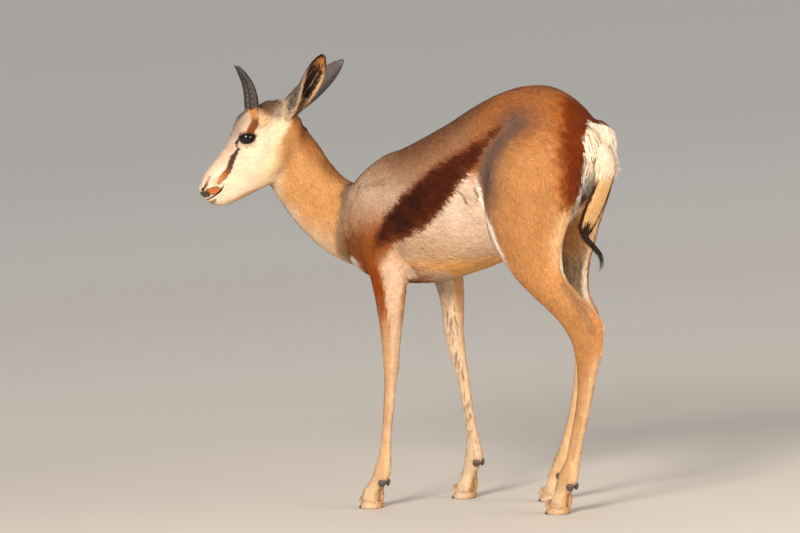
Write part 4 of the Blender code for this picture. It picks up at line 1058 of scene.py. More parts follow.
def lie_of_coat(points, normals):
    """The way the hair points: back along the trunk, down the neck and the
    legs, from nose to nape on the head."""
    y, z = points[:, 1:].T
    way = np.tile(np.array([0.0, 1.0, -0.38]), (len(points), 1))
    neck = (points - np.array(NECK_CUT)) @ unit(np.array(NECK_CUT_ALONG))
    lies = (((0.0, 0.35, -1.0), ease(-0.05, -0.14, y) * ease(0.62, 0.52, z)),
            ((0.0, 0.45, -1.0), ease(0.1, 0.22, y) * ease(0.66, 0.58, z)),
            ((0.0, 0.2, -1.0), ease(0.31, 0.36, y)),
            ((0.0, 1.0, 0.05), ease(-0.5, -0.85, normals[:, 2]) * ease(0.5, 0.47, z)),
            ((0.0, 0.12, -1.0), ease(0.46, 0.38, z)),
            ((0.0, 0.42, -0.9), ease(-0.03, 0.03, neck)),
            (-NOSEWARD - 0.25 * CROWNWARD, ease(-0.03, 0.02, ahead_of_cut(points))))
    for lie, share in lies:
        way = mix(way, np.array(lie), share)
    return square_to(way, normals)


def long_hair(points):
    """1 where the rump's long white hair grows."""
    return ease(-0.002, 0.006, in_rump(points)) * ease(0.5, 0.58, points[:, 2])


def hair_length(points, normals):
    """Length of a tuft: longest on the rump's white, shortest on the face."""
    z = points[:, 2]
    body = sizes().hair
    length = np.full(len(points), body)
    length = length + 0.01 * long_hair(points)
    length = length + 0.0035 * ease(-0.4, -0.8, normals[:, 2]) * ease(0.52, 0.48, z)
    length = length - (body - 0.0062) * ease(0.46, 0.26, z)
    length = length - 0.0016 * ease(0.14, 0.04, z) + 0.005 * ease(0.04, 0.028, z)
    place = in_head(points)
    face = 0.0085 - 0.004 * ease(0.02, 0.09, place[:, 0]) - 0.0018 * ease(0.13, 0.18, place[:, 0])
    face = face + 0.0026 * ease(0.035, 0.01, place[:, 0]) * ease(0.025, 0.04, place[:, 1])
    ahead = ease(-0.02, 0.01, ahead_of_cut(points))
    return length * (1.0 - ahead) + face * ahead


def hair_lift(points):
    """Angle of the hair to the skin in degrees."""
    lift = 10.0 + 9.0 * long_hair(points)
    place = in_head(points)
    crown = ease(0.032, 0.01, place[:, 0]) * ease(0.025, 0.04, place[:, 1])
    return lift + 4.0 * crown * ease(-0.02, 0.01, ahead_of_cut(points))


def bare(points):
    """1 where no hair grows: lids, nostrils, lips and the nose pad."""
    flat = in_head(points)[:, :2]
    none = ease(0.0034, 0.0022, line_distance(flat, NOSTRIL)[0])
    none = np.maximum(none, ease(0.0022, 0.0012, line_distance(flat, MOUTH)[0]))
    none = np.maximum(none, ease(1.1, 0.9, spot(flat, *NOSE_PAD)))
    none = np.maximum(none, ease(1.55, 1.35, eye_reach(points)[0]))
    none = none * ease(0.0, 0.004, ahead_of_cut(points))
    return np.maximum(none, ease(0.006, 0.003, points[:, 2]))


@functools.lru_cache(maxsize=None)
def skin_fields():
    """The skin's points, triangles, normals and what the coat needs at each
    point."""
    points, triangles = body_skin()
    normals = point_normals(points, triangles)
    edges = edges_of(triangles)
    way = lie_of_coat(points, normals)
    for step in range(12):
        way = square_to(way + neighbour_mean(way, edges), normals)
    return {"points": points, "triangles": triangles, "normals": normals, "way": way,
            "length": hair_length(points, normals), "lift": hair_lift(points),
            "hairy": 1.0 - bare(points)}


def scattered(fields, chosen, cover, draw):
    """Roots on the chosen triangles, evenly spread by area so that the
    tufts cover the skin the given number of times. Each root has its share
    of the three corners."""
    corners = fields["triangles"][chosen]
    a, b, c = (fields["points"][corners[:, k]] for k in range(3))
    area = np.linalg.norm(np.cross(b - a, c - a), axis=1) / 2.0
    length = fields["length"][corners].mean(axis=1)
    keep = fields["hairy"][corners].mean(axis=1)
    each = 0.5 * length * tuft_width(length)
    total = np.cumsum(area * cover * keep / each)
    marks = np.arange(0.5, total[-1], 1.0) + draw.uniform(-0.5, 0.5, int(math.ceil(total[-1] - 0.5)))
    owner = np.clip(np.searchsorted(total, marks), 0, len(total) - 1)
    one = np.sqrt(draw.random(len(owner)))
    two = draw.random(len(owner))
    return corners[owner], np.stack([1.0 - one, one * (1.0 - two), one * two], axis=1)


def tuft_width(length):
    """Width of a tuft for its length, within bounds."""
    share = sizes().tuft / sizes().hair
    return np.clip(length * share, 0.0007, 0.0022)


def blend(values, corners, shares):
    """Values of the three corners blended by their shares."""
    if values.ndim == 1:
        return np.sum(values[corners] * shares, axis=1)
    return np.einsum("nkd,nk->nd", values[corners], shares)


def tuft_mesh(name, root, normal, way, length, width, lift, tint, unwrap, draw, shade=0.13):
    """Diamond tufts: root r, sides m +- w/2 and tip t, where m = r + 0.45 l
    (f cos a + n sin a) and t = m + 0.55 l (f cos b - n sin b), for the way f,
    the normal n, the lift a and b = a / 4."""
    count = len(root)
    across = np.cross(normal, way)
    a = np.radians(lift * draw.uniform(0.55, 1.45, count))[:, None]
    long = length[:, None]
    middle = root + 0.45 * long * (way * np.cos(a) + normal * np.sin(a))
    tip = middle + 0.55 * long * (way * np.cos(a / 4.0) - normal * np.sin(a / 4.0))
    half = across * (width / 2.0)[:, None]
    points = np.stack([root - normal * 0.0003, middle - half, middle + half, tip], axis=1)
    base = np.arange(count)[:, None] * 4
    faces = np.concatenate([base + [0, 1, 2], base + [2, 1, 3]], axis=1).reshape(-1, 3)
    mesh = even_mesh(name, points, faces)
    bright = 1.0 + draw.normal(0.0, 1.0, (count, 1, 1)) * np.resize(shade, (count, 1, 1))
    warm = 1.0 + draw.normal(0.0, 0.035, (count, 1, 1)) * np.array([-0.6, 0.0, 1.0])
    ends = np.array([0.72, 0.96, 0.96, 1.1])[None, :, None]
    tinted(mesh, (tint[:, None, :] * ends * bright * warm).reshape(-1, 3))
    lean = draw.normal(0.0, 0.16, (count, 1, 1))
    tilt = np.array([-0.1, 0.0, 0.0, 0.1])[None, :, None]
    edge = np.array([0.0, -0.22, 0.22, 0.0])[None, :, None]
    soft = normal[:, None, :] + way[:, None, :] * (lean + tilt) + across[:, None, :] * edge
    mesh.normals_split_custom_set_from_vertices(unit(soft).reshape(-1, 3).astype(np.float32))
    unwrapped(mesh, unwrap, np.array([[0.0, -0.5], [0.5, 0.0], [-0.5, 0.0], [0.0, 0.5]]), faces.ravel())
    return mesh


def swung(way, normal, degrees):
    """The way turned about the normal."""
    turn = np.radians(degrees)[:, None]
    return way * np.cos(turn) + np.cross(normal, way) * np.sin(turn)


def coat_piece(name, mask, unwrap, number, cover):
    """Tufts on the part of the skin that the mask of its triangles' middles
    chooses, as one piece."""
    fields = skin_fields()
    draw = draws(number)
    corners, shares = scattered(fields, np.flatnonzero(mask), cover, draw)
    root = blend(fields["points"], corners, shares)
    normal = unit(blend(fields["normals"], corners, shares))
    way = square_to(blend(fields["way"], corners, shares), normal)
    stray = draw.normal(0.0, 7.0, len(root)) + 7.0 * waves(root, 0.022, 61) / 1.5
    way = swung(way, normal, stray)
    length = blend(fields["length"], corners, shares) * draw.uniform(0.75, 1.2, len(root))
    lift = blend(fields["lift"], corners, shares)
    width = tuft_width(length) * draw.uniform(0.8, 1.2, len(root))
    tint = coat_tint(root + way * (length * draw.uniform(0.0, 0.5, len(root)))[:, None], normal)
    shade = np.interp(length, [0.004, 0.012], [0.05, 0.09])
    mesh = tuft_mesh(name, root, normal, way, length, width, lift, tint, unwrap(root), draw, shade)
    piece(name, mesh, "coat", "tufts")


def smooth_line(table, count):
    """The table's rows joined by a smooth curve through them, at evenly
    spaced steps."""
    table = np.array(table, float)
    last = len(table) - 1
    at = np.linspace(0.0, last, count)
    k = np.minimum(at.astype(int), last - 1)
    t = (at - k)[:, None]
    p0, p1 = table[np.maximum(k - 1, 0)], table[k]
    p2, p3 = table[k + 1], table[np.minimum(k + 2, last)]
    return 0.5 * (2.0 * p1 + (p2 - p0) * t + (2.0 * p0 - 5.0 * p1 + 4.0 * p2 - p3) * t ** 2
                  + (3.0 * p1 - p0 - 3.0 * p2 + p3) * t ** 3)


# Ears: base, middle and tip in the head's frame, way the cup opens at the
# root and at the tip, how far the root curls round, side
EARS = (
    ("ear_left", (0.006, 0.013, 0.023), (-0.066, 0.0225, 0.056),
     (-0.125, 0.0385, 0.073), (-0.10, -1.10, 0.80), (-0.10, -0.35, 1.0), 105.0, 1.0),
    ("ear_right", (-0.006, 0.007, -0.022), (-0.088, -0.0120, -0.044),
     (-0.159, -0.0215, -0.053), (0.05, -0.20, -1.0), (0.05, 0.40, -1.0), 62.0, -1.0),
)
EAR_HALF = 0.039
EAR_THICK = 0.0022
EAR_HAIR = (("back", 9000), ("hollow", 6500), ("rim", 2600), ("rows", 80), ("root", 900))
EAR_ROWS = (-0.62, -0.12, 0.40)   # places across the hollow of the rows of long hair
CLAW_HAIR = 0.0048
UNDER_HAIR = 0.8              # how much darker the skin of ears and tail is than its hair
# Horn: noseward, crownward, sideways, half depth, half width
HORN = ((0.0310, 0.0470, 0.0190, 0.0096, 0.0084), (0.0235, 0.0620, 0.0192, 0.0096, 0.0084),
        (0.0085, 0.0785, 0.0198, 0.0084, 0.0074), (-0.0035, 0.0965, 0.0198, 0.0066, 0.0058),
        (-0.0105, 0.1145, 0.0180, 0.0045, 0.0040), (-0.0140, 0.1280, 0.0150, 0.0025, 0.0023),
        (-0.0148, 0.1355, 0.0125, 0.0009, 0.0009))
HORN_RIDGES = 9
HORN_RIDGED = 0.62            # part of its length that has them
# Dock of the tail: place, half depth, half width
TAIL = ((0.0, 0.362, 0.656, 0.0090, 0.0150), (0.0, 0.384, 0.640, 0.0085, 0.0180),
        (0.0, 0.390, 0.615, 0.0076, 0.0205), (0.001, 0.384, 0.588, 0.0068, 0.0222),
        (0.003, 0.371, 0.561, 0.0062, 0.0238), (0.005, 0.357, 0.536, 0.0056, 0.0240),
        (0.006, 0.345, 0.515, 0.0046, 0.0200), (0.007, 0.338, 0.500, 0.0030, 0.0100))
TAIL_HAIR_ROOM = 0.0012       # how far the dock's skin lies inside the table's halves
TUFT_LOCKS = 7
TUFT_SPREAD = (0.0062, 0.0022, 0.0028)
TUFT_CURL = (0.0030, 0.0022, 0.0018)
TUFT = ((0.010, 0.350, 0.522), (0.010, 0.341, 0.503), (0.008, 0.340, 0.486),
        (0.004, 0.352, 0.471), (0.001, 0.363, 0.454), (0.0, 0.363, 0.436), (0.001, 0.357, 0.424))


def ear_shape(row, f, t):
    """The ear's middle surface at parts f of its length and t across it,
    from -1 to 1, with its normal at the back and its way to the tip."""
    base, middle, tip, root_opens, tip_opens, curl, side = row[1:]
    start, halfway, end = head_point(*base), head_point(*middle), head_point(*tip)
    bow = 4.0 * halfway - 3.0 * start - end
    turn = 2.0 * start + 2.0 * end - 4.0 * halfway
    f = np.asarray(f)[..., None]
    t = np.asarray(t)[..., None]
    along = unit(bow + turn * 2.0 * f)
    swing = np.array(tip_opens) - np.array(root_opens)
    opens = np.array(root_opens) + swing * np.minimum(1.0, f * 1.5)
    front = square_to(opens @ HEAD_AXES, along)
    wide = np.cross(along, front) * side
    point, close = (2.6, 0.75) if side > 0.0 else (2.2, 0.82)
    half = EAR_HALF * (0.70 + 0.75 * f - 0.50 * f ** 2) * np.maximum(1.0 - f ** point, 0.0) ** close
    half = np.maximum(half, 0.0012)
    angle = np.radians(curl * (1.0 - f) ** 1.6 + 60.0)
    radius = half / angle
    back = wide * np.sin(t * angle) - front * np.cos(t * angle)
    points = start + bow * f + turn * f ** 2 + back * radius + front * radius * 0.5
    return points, back, along, wide, half


def ear_tint(row, f, t, inside):
    """Dark hollow with a pale rim and an orange tip, and a grey back, with painted shade on the far ear's
    root.
    """
    jag = waves(np.stack([f, t * 0.4, f * 0.0], axis=-1), 0.06, 71) * 0.05
    edge = np.abs(t) + jag
    count = len(f)
    hollow = all_over((0.030, 0.013, 0.008), count)
    hollow = lay(hollow, (0.66, 0.40, 0.21), ease(0.76, 0.88, edge))
    hollow = lay(hollow, (0.55, 0.33, 0.18), ease(0.30, 0.20, f + jag))
    hollow = lay(hollow, (0.46, 0.18, 0.050), ease(0.78, 0.87, f + jag))
    rear = all_over((0.115, 0.098, 0.100), count)
    rear = lay(rear, (0.26, 0.20, 0.17), 0.5 * ease(0.7, 0.95, edge))
    rear = lay(rear, (0.060, 0.047, 0.046), 0.8 * ease(0.50, 0.20, f + jag))
    # painted shade: the far ear's root darker than the near ear's
    root = (0.60, 0.42, 0.28) if row[7] > 0.0 else (0.40, 0.25, 0.14)
    rear = lay(rear, root, 0.92 * ease(0.20, 0.07, f + jag))
    rear = lay(rear, (0.30, 0.26, 0.25), 0.6 * ease(0.88, 0.97, f))
    tint = np.where(np.asarray(inside)[:, None], hollow, rear)
    rim = ease(0.90, 0.97, np.abs(t))
    tint = lay(tint, (0.62, 0.42, 0.26), 0.6 * rim * ease(0.75, 0.6, f))
    rim = np.maximum(rim, ease(0.95, 0.985, f)) * ease(0.68, 0.82, f)
    return lay(tint, (0.035, 0.018, 0.012), 0.85 * rim)


def ear_leaf(row):
    """A cupped leaf: across it each row is an arc, p = c + r (w sin a -
    g cos a), with a back and a hollow with three ridges."""
    name, side = row[0], row[7]
    rows, columns = 72, 49
    f = np.linspace(0.0, 0.998, rows)[:, None] * np.ones(columns)
    t = np.ones((rows, 1)) * np.linspace(-1.0, 1.0, columns)
    middle, back = ear_shape(row, f, t)[:2]
    thick = EAR_THICK / 2.0 * np.sqrt(np.maximum(1.0 - t ** 6, 0.02)) * (1.0 - 0.6 * f ** 4)
    ridge = 0.0006 * np.cos(t * 9.0) * ease(1.0, 0.75, np.abs(t)) * ease(0.05, 0.3, f) * ease(0.95, 0.7, f)
    outer = middle + back * thick[..., None]
    inner = middle - back * (thick + ridge)[..., None]
    points = np.concatenate([outer, inner[:, ::-1]], axis=1)
    here = np.arange(columns - 1)
    caps = np.stack([here, here + 1, 2 * columns - 2 - here, 2 * columns - 1 - here], axis=1)
    top = caps + (rows - 1) * columns * 2
    faces = np.concatenate([grid_faces(rows, columns * 2, True), caps[:, ::-1], top])
    mesh = even_mesh(name + "_skin", points, faces[:, ::-1] if side > 0.0 else faces)
    inside = np.tile(np.repeat([False, True], columns), rows)
    across = np.concatenate([t, t[:, ::-1]], axis=1).ravel()
    tinted(mesh, ear_tint(row, np.repeat(f[:, 0], columns * 2), across, inside) * UNDER_HAIR)
    piece(name + "_skin", mesh, "ear_skin", "hide", name)


def ear_tufts(row, kind, count, draw):
    """Roots, normals, ways, lengths, lifts, colours and places in the bake
    of one kind of the ear's hair."""
    f = draw.uniform(0.02, 0.985, count)
    t = draw.uniform(-1.0, 1.0, count)
    inside = np.full(count, kind in ("hollow", "rows"))
    length = np.full(count, 0.0050)
    lift = np.full(count, 9.0)
    swing = draw.normal(0.0, 9.0, count)
    if kind == "rim":
        t = np.sign(t) * draw.uniform(0.93, 1.0, count)
        inside = draw.random(count) < 0.6
        length = length + 0.0015
    if kind == "rows":
        t = np.array(EAR_ROWS)[draw.integers(0, len(EAR_ROWS), count)]
        t = t + draw.normal(0.0, 0.012, count)
        swing = draw.normal(0.0, 2.5, count)
        f = draw.uniform(0.22, 0.72, count)
        length = draw.uniform(0.009, 0.015, count)
        lift = draw.uniform(5.0, 14.0, count)
    if kind == "root":
        f = draw.uniform(0.10, 0.30, count)
        inside = draw.random(count) < 0.7
        length = draw.uniform(0.008, 0.014, count)
        lift = draw.uniform(10.0, 24.0, count)
    root, out, along, wide, half = ear_shape(row, f, t)
    normal = np.where(inside[:, None], -out, out)
    root = root + normal * EAR_THICK * 0.45
    aside = np.full(count, 0.12) if kind == "rows" else -0.30 * np.sign(t)
    way = square_to(along + wide * aside[:, None], normal)
    tint = ear_tint(row, f, t, inside)
    if kind == "rows":
        tint = all_over((0.36, 0.23, 0.14), count) * draw.uniform(0.5, 1.0, (count, 1))
    if kind == "root":
        tint = lay(tint, (0.60, 0.40, 0.24), 0.6 * draw.random(count))
    keep = half[:, 0] > 0.002
    place = np.stack([f, t * 0.24 + np.where(inside, 0.75, 0.25)], axis=1)
    return [part[keep] for part in (root, normal, swung(way, normal, swing), length, lift, tint, place)]


def make_ear(row):
    """The leaf of an ear and its short hair."""
    ear_leaf(row)
    draw = draws(DRAWS[row[0]])
    sets = [ear_tufts(row, kind, count, draw) for kind, count in EAR_HAIR]
    root, normal, way, length, lift, tint, unwrap = (np.concatenate(part) for part in zip(*sets))
    width = np.clip(length * 0.13, 0.0006, 0.0011)
    mesh = tuft_mesh(row[0] + "_coat", root, normal, way, length, width, lift, tint, unwrap, draw)
    piece(row[0] + "_coat", mesh, "ear_skin", "tufts")


def strand_mesh(name, paths, widths, tint, unwrap):
    """Ribbons along paths of evenly many points: each is drawn out by half
    its width to both sides of the path and closes at the tip."""
    count, steps = paths.shape[:2]
    way = unit(np.gradient(paths, axis=1))
    side = unit(np.cross(way, unit(np.array([0.62, 0.75, 0.25]))))
    taper = np.concatenate([np.linspace(0.6, 1.0, 3), np.linspace(1.0, 0.08, steps - 3)])
    half = widths[:, None, None] / 2.0 * taper[None, :, None]
    points = np.stack([paths - side * half, paths + side * half], axis=2)
    lane = grid_faces(steps, 2, False)
    faces = (np.arange(count)[:, None, None] * steps * 2 + lane[None]).reshape(-1, 4)
    mesh = even_mesh(name, points, faces)
    tinted(mesh, np.repeat(tint, steps * 2, axis=0))
    part = np.stack([np.tile([0.0, 1.0], steps), np.repeat(np.linspace(0.0, 1.0, steps), 2)], axis=1)
    unwrapped(mesh, unwrap, part - 0.5, faces.ravel())
    return mesh


def tail_tint(across, part, back):
    """Tan strip with dark edges, pale at its root and black at its end."""
    tint = all_over((0.90, 0.54, 0.24), len(part))
    tint = lay(tint, RUMP_WHITE, ease(0.44, 0.32, part))
    tint = lay(tint, "white", 0.8 * ease(0.1, -0.4, back))
    dark = ease(0.90, 0.98, np.abs(across)) * ease(0.34, 0.46, part)
    tint = lay(tint, (0.085, 0.028, 0.010), dark)
    return lay(tint, (0.060, 0.026, 0.012), ease(0.86, 0.98, part + 0.06 * np.abs(across)))


def dock_of_tail(rows):
    """The dock's rings p = c + a d cos h + b w sin h along a bent line: the
    line, a function of ring and turn, and the ways along and across."""
    table = smooth_line(TAIL, rows)
    path = table[:, :3]
    along = unit(np.gradient(path, axis=0))
    wide = np.array([1.0, 0.0, 0.0])
    wide = unit(wide - along * along[:, :1])
    deep = np.cross(wide, along)
    deep = deep * np.sign(deep[:, 1:2])
    half_deep, half_wide = table[:, 3], table[:, 4]

    def around(k, angle):
        ring = (deep[k] * (half_deep[k] - TAIL_HAIR_ROOM)[:, None] * np.cos(angle)[:, None]
                + wide[k] * (half_wide[k] - TAIL_HAIR_ROOM)[:, None] * np.sin(angle)[:, None])
        normal = unit(deep[k] * (np.cos(angle) / half_deep[k])[:, None]
                      + wide[k] * (np.sin(angle) / half_wide[k])[:, None])
        return path[k] + ring, normal

    return path, around, along, wide


def tail_skin(rows, columns):
    """The dock as one closed mesh."""
    path, around = dock_of_tail(rows)[:2]
    k, angle = ring_places(rows, columns)
    points = np.concatenate([around(k, angle)[0], path[:1], path[-1:]])
    mesh = closed_rings("tail_skin", points, rows, columns)
    part = np.concatenate([k / (rows - 1.0), [0.0, 1.0]])
    across = np.concatenate([np.sin(angle), [0.0, 0.0]])
    back = np.concatenate([np.cos(angle), [1.0, 1.0]])
    tinted(mesh, tail_tint(across, part, back) * UNDER_HAIR)
    piece("tail_skin", mesh, "tail_hair", "hide", "tail")


def tail_coat(rows, count, draw):
    """Short hair round the dock, and longer dark hair along its edges."""
    around, along, wide = dock_of_tail(rows)[1:]
    angle = draw.uniform(0.0, 2.0 * math.pi, count)
    edge = np.sign(np.sin(angle)) * (math.pi / 2.0)
    fringe = draw.random(count) < 0.10
    angle = np.where(fringe, edge + draw.normal(0.0, 0.16, count), angle)
    at = draw.integers(2, rows - 3, count)
    root, normal = around(at, angle)
    sideways = wide[at] * np.sin(angle)[:, None]
    way = unit(along[at] + sideways * np.where(fringe, 0.22, 0.05)[:, None])
    way = unit(way - normal * np.sum(way * normal, axis=1)[:, None] * np.where(fringe, 0.5, 1.0)[:, None])
    part = at / (rows - 1.0)
    length = np.where(fringe, draw.uniform(0.010, 0.017, count), draw.uniform(0.006, 0.010, count))
    fluff = ease(0.46, 0.20, part)
    length = length + 0.012 * fluff * draw.uniform(0.5, 1.0, count)
    tint = tail_tint(np.sin(angle), part + draw.normal(0.0, 0.03, count), np.cos(angle))
    tint = lay(tint, (0.045, 0.018, 0.010), 0.85 * fringe * ease(0.34, 0.46, part))
    unwrap = np.stack([angle / (2.0 * math.pi), 0.45 * part], axis=1) % 1.0
    way = swung(way, normal, draw.normal(0.0, 8.0, count) * (1.0 + 1.2 * fluff))
    width = np.clip(length * 0.12, 0.0007, 0.0013)
    mesh = tuft_mesh("tail_coat", root, normal, way, length, width, 9.0 + 12.0 * fluff, tint, unwrap, draw)
    piece("tail_coat", mesh, "tail_hair", "tufts")


def tail_tuft(count, steps, draw):
    """The end tuft: strands along a bent line, in locks that spread at the
    root and curl towards the tip."""
    line = smooth_line(TUFT, 64)
    share = 0.34 + 0.66 * draw.random(count) ** 1.6
    begin = draw.uniform(0.0, 0.22, count)
    index = (begin[:, None] + (share - begin)[:, None] * np.linspace(0.0, 1.0, steps)) * 63.0
    paths = np.stack([np.interp(index, np.arange(64), line[:, axis]) for axis in range(3)], axis=-1)
    grow = np.linspace(1.0, 0.0, steps)[None, :, None] ** 0.8
    lock = draw.integers(0, TUFT_LOCKS, count)
    lock_way = draw.normal(0.0, 1.0, (TUFT_LOCKS, 3))[lock][:, None, :]
    spread = (draw.normal(0.0, 0.5, (count, 1, 3)) + 0.6 * lock_way) * TUFT_SPREAD
    curl = (draw.normal(0.0, 0.35, (count, 1, 3)) + 0.7 * lock_way) * TUFT_CURL
    paths = paths + spread * (0.18 + 0.82 * grow) + curl * (1.0 - grow)
    tint = all_over((0.022, 0.012, 0.009), count) * draw.uniform(0.6, 1.9, (count, 1))
    unwrap = np.stack([draw.random(count), 0.5 + 0.48 * share], axis=1)
    mesh = strand_mesh("tail_tuft", paths, draw.uniform(0.0006, 0.0011, count), tint, unwrap)
    piece("tail_tuft", mesh, "tail_hair", "tufts")


def make_tail():
    """The dock, its hair and the tuft at its end."""
    rows, columns = 90, 36
    draw = draws(DRAWS["tail"])
    tail_skin(rows, columns)
    tail_coat(rows, 11000, draw)
    tail_tuft(260, 16, draw)


def make_eye(name, side):
    """A ball about the look axis, r = R (1 + c e), where e falls from 1 at
    the middle of the cornea, whose rise is c, to 0 at its edge."""
    centre, look, along, over = eye_axes(side)
    rows, columns = 40, 56
    k, turn = ring_places(rows, columns)
    polar = np.append(np.linspace(0.0, math.pi, rows + 2)[k + 1], [0.0, math.pi])
    turn = np.append(turn, [0.0, 0.0])
    way = (look * np.cos(polar)[:, None] + along * (np.sin(polar) * np.cos(turn))[:, None]
           + over * (np.sin(polar) * np.sin(turn))[:, None])
    reach = (EYE_RADIUS - 0.0002) * (1.0 + CORNEA_RISE * ease(math.radians(CORNEA_EDGE), 0.0, polar))
    mesh = closed_rings(name + "_ball", centre + way * reach[:, None], rows, columns)
    a = way @ along * EYE_RADIUS
    b = way @ over * EYE_RADIUS
    tint = all_over((0.012, 0.008, 0.007), len(way))
    iris = ease(1.15, 0.85, (a / 0.0105) ** 2 + (b / 0.0095) ** 2)
    fleck = 0.75 + 0.25 * np.sin(np.arctan2(b, a) * 31.0)
    tint = mix(tint, np.array([0.016, 0.009, 0.006]) * fleck[:, None], iris)
    tint = lay(tint, (0.004, 0.003, 0.003), ease(1.2, 0.8, (a / 0.0068) ** 2 + (b / 0.0036) ** 2))
    tinted(mesh, tint)
    piece(name + "_ball", mesh, "eye", "wet_eye", name)


def make_lashes():
    """Fine dark lashes fanning out of the upper lids' rims."""
    draw = draws(DRAWS["lashes"])
    paths = []
    for side in SIDES.values():
        centre, look, along, over = eye_axes(side)
        count, steps = 110, 9
        at = draw.uniform(-0.92, 0.90, count)
        a = at * EYE_OPEN[0] + EYE_FORWARD
        b = EYE_OPEN[1] * np.maximum(1.0 - at ** 2, 0.0) ** (1.0 / 1.6) * 1.04
        deep = np.sqrt(np.maximum(EYE_RADIUS ** 2 - a ** 2 - b ** 2, 0.0)) + 0.0007
        root = centre + along * a[:, None] + over * b[:, None] + look * deep[:, None]
        long = draw.uniform(0.006, 0.0105, count)[:, None, None]
        p = np.linspace(0.0, 1.0, steps)[None, :, None]
        fan = along * (at * 0.55 + draw.normal(0.0, 0.12, count))[:, None]
        start = unit(look * 1.0 + over * 0.15 + fan)[:, None, :]
        bend = (over * 0.45 - look * 0.10)[None, None, :]
        paths.append(root[:, None, :] + long * (start * p + bend * p ** 2 * 0.6))
    paths = np.concatenate(paths)
    count = len(paths)
    tint = all_over(colour("dark") * 0.7, count)
    unwrap = np.stack([draw.random(count), np.repeat([0.25, 0.75], count // 2)], axis=1)
    mesh = strand_mesh("lashes", paths, np.full(count, LASH_WIDTH), tint, unwrap)
    piece("lashes", mesh, "coat", "tufts")


def make_horn(name, side):
    """Rings p = c + (1 + g) (d cos h + w sin h) along a bent line, where g
    is a saw of raised growth rings that fades towards the tip."""
    rows, columns = 240, 40
    table = smooth_line(HORN, rows)
    path = np.array(HEAD_AT) + (table[:, :3] * (1.0, 1.0, side)) @ HEAD_AXES
    along = unit(np.gradient(path, axis=0))
    wide = unit(LEFTWARD - along * (along @ LEFTWARD)[:, None])
    deep = np.cross(wide, along)
    part = np.linspace(0.0, 1.0, rows)
    wave = (part * HORN_RIDGES / HORN_RIDGED) % 1.0
    ring = (wave ** 1.6 * ease(1.0, 0.86, wave)) * ease(0.70, 0.40, part)
    k, turn = ring_places(rows, columns)
    ahead = 0.35 + 0.65 * (0.5 + 0.5 * np.cos(turn - math.pi))
    grow = 1.0 + 0.085 * ring[k] * ahead - 0.03 + 0.0012 * np.sin(turn * 13.0) * ease(1.0, 0.6, part[k])
    points = (path[k] + deep[k] * (table[k, 3] * grow * np.cos(turn))[:, None]
              + wide[k] * (table[k, 4] * grow * np.sin(turn))[:, None])
    points = np.concatenate([points, path[:1], path[-1:] + along[-1:] * 0.0006])
    mesh = closed_rings(name + "_sheath", points, rows, columns)
    worn = np.concatenate([ring[k] * 0.7, [0.0, 0.0]])
    rise = np.concatenate([part[k], [0.0, 1.0]])
    tint = all_over("horn", len(points))
    tint = lay(tint, (0.095, 0.055, 0.036), 0.40 * np.clip(worn, 0.0, 1.0) * ease(0.75, 0.45, rise))
    tint = lay(tint, (0.012, 0.010, 0.011), 0.8 * ease(0.40, 0.75, rise))
    tinted(mesh, tint)
    piece(name + "_sheath", mesh, "horn", "ringed_horn", name)


def add_node(tree, kind, setup, values, feeds):
    """A new node with its settings, the values of its inputs, and the other
    nodes' outputs that feed its inputs."""
    made = tree.nodes.new("ShaderNode" + kind)
    for name, value in setup.items():
        setattr(made, name, value)
    for name, value in values.items():
        made.inputs[name].default_value = value
    for name, source in feeds.items():
        tree.links.new(source, made.inputs[name])
    return made


def new_material(name):
    """A new material with its nodes and its Principled shader."""
    made = bpy.data.materials.new(name)
    made.use_nodes = True
    return made, made.node_tree, made.node_tree.nodes["Principled BSDF"]


def noise_group():
    """Node group: noise as streaks in a colour, and as a height."""
    made = bpy.data.node_groups.get("streaks")
    if made:
        return made
    made = bpy.data.node_groups.new("streaks", "ShaderNodeTree")
    for name, way, kind in (("Vector", "INPUT", "Vector"), ("Color", "INPUT", "Color"),
                            ("Scale", "INPUT", "Float"), ("Amount", "INPUT", "Float"),
                            ("Color", "OUTPUT", "Color"), ("Height", "OUTPUT", "Float")):
        made.interface.new_socket(name, in_out=way, socket_type="NodeSocket" + kind)
    enter = made.nodes.new("NodeGroupInput").outputs
    leave = made.nodes.new("NodeGroupOutput").inputs
    noise = add_node(made, "TexNoise", {}, {"Detail": 4.0, "Roughness": 0.65},
                     {"Vector": enter["Vector"], "Scale": enter["Scale"]})
    spread = add_node(made, "MapRange", {},
                      {"From Min": 0.25, "From Max": 0.75, "To Min": 0.45, "To Max": 1.45},
                      {"Value": noise.outputs["Fac"]})
    shade = add_node(made, "Mix", {"data_type": "RGBA", "blend_type": "MULTIPLY"}, {},
                     {"Factor": enter["Amount"], "A": enter["Color"], "B": spread.outputs["Result"]})
    made.links.new(shade.outputs["Result"], leave["Color"])
    made.links.new(noise.outputs["Fac"], leave["Height"])
    return made


# Finishes: scale and amount of the streaks, strength and depth of their
# bump, and the shader's own values
FINISHES = {
    # soft hair with a faint sheen
    "tufts": (260.0, 0.16, 0.0, 0.0, {
        "Roughness": 0.60, "Specular IOR Level": 0.08, "Sheen Weight": 0.02,
        "Sheen Roughness": 0.45, "Sheen Tint": (1.0, 0.92, 0.88, 1.0)}),
    # skin under the coat, with the bump of fine flat hair
    "hide": (620.0, 0.55, 0.55, 0.0012, {"Roughness": 0.66, "Specular IOR Level": 0.20}),
    # wet dark eye
    "wet_eye": (900.0, 0.30, 0.0, 0.0, {
        "Roughness": 0.10, "Specular IOR Level": 0.16, "Coat Weight": 0.26, "Coat Roughness": 0.02}),
    # satin horn with fine grain
    "ringed_horn": (420.0, 0.55, 0.35, 0.0006, {"Roughness": 0.40, "Specular IOR Level": 0.42}),
}


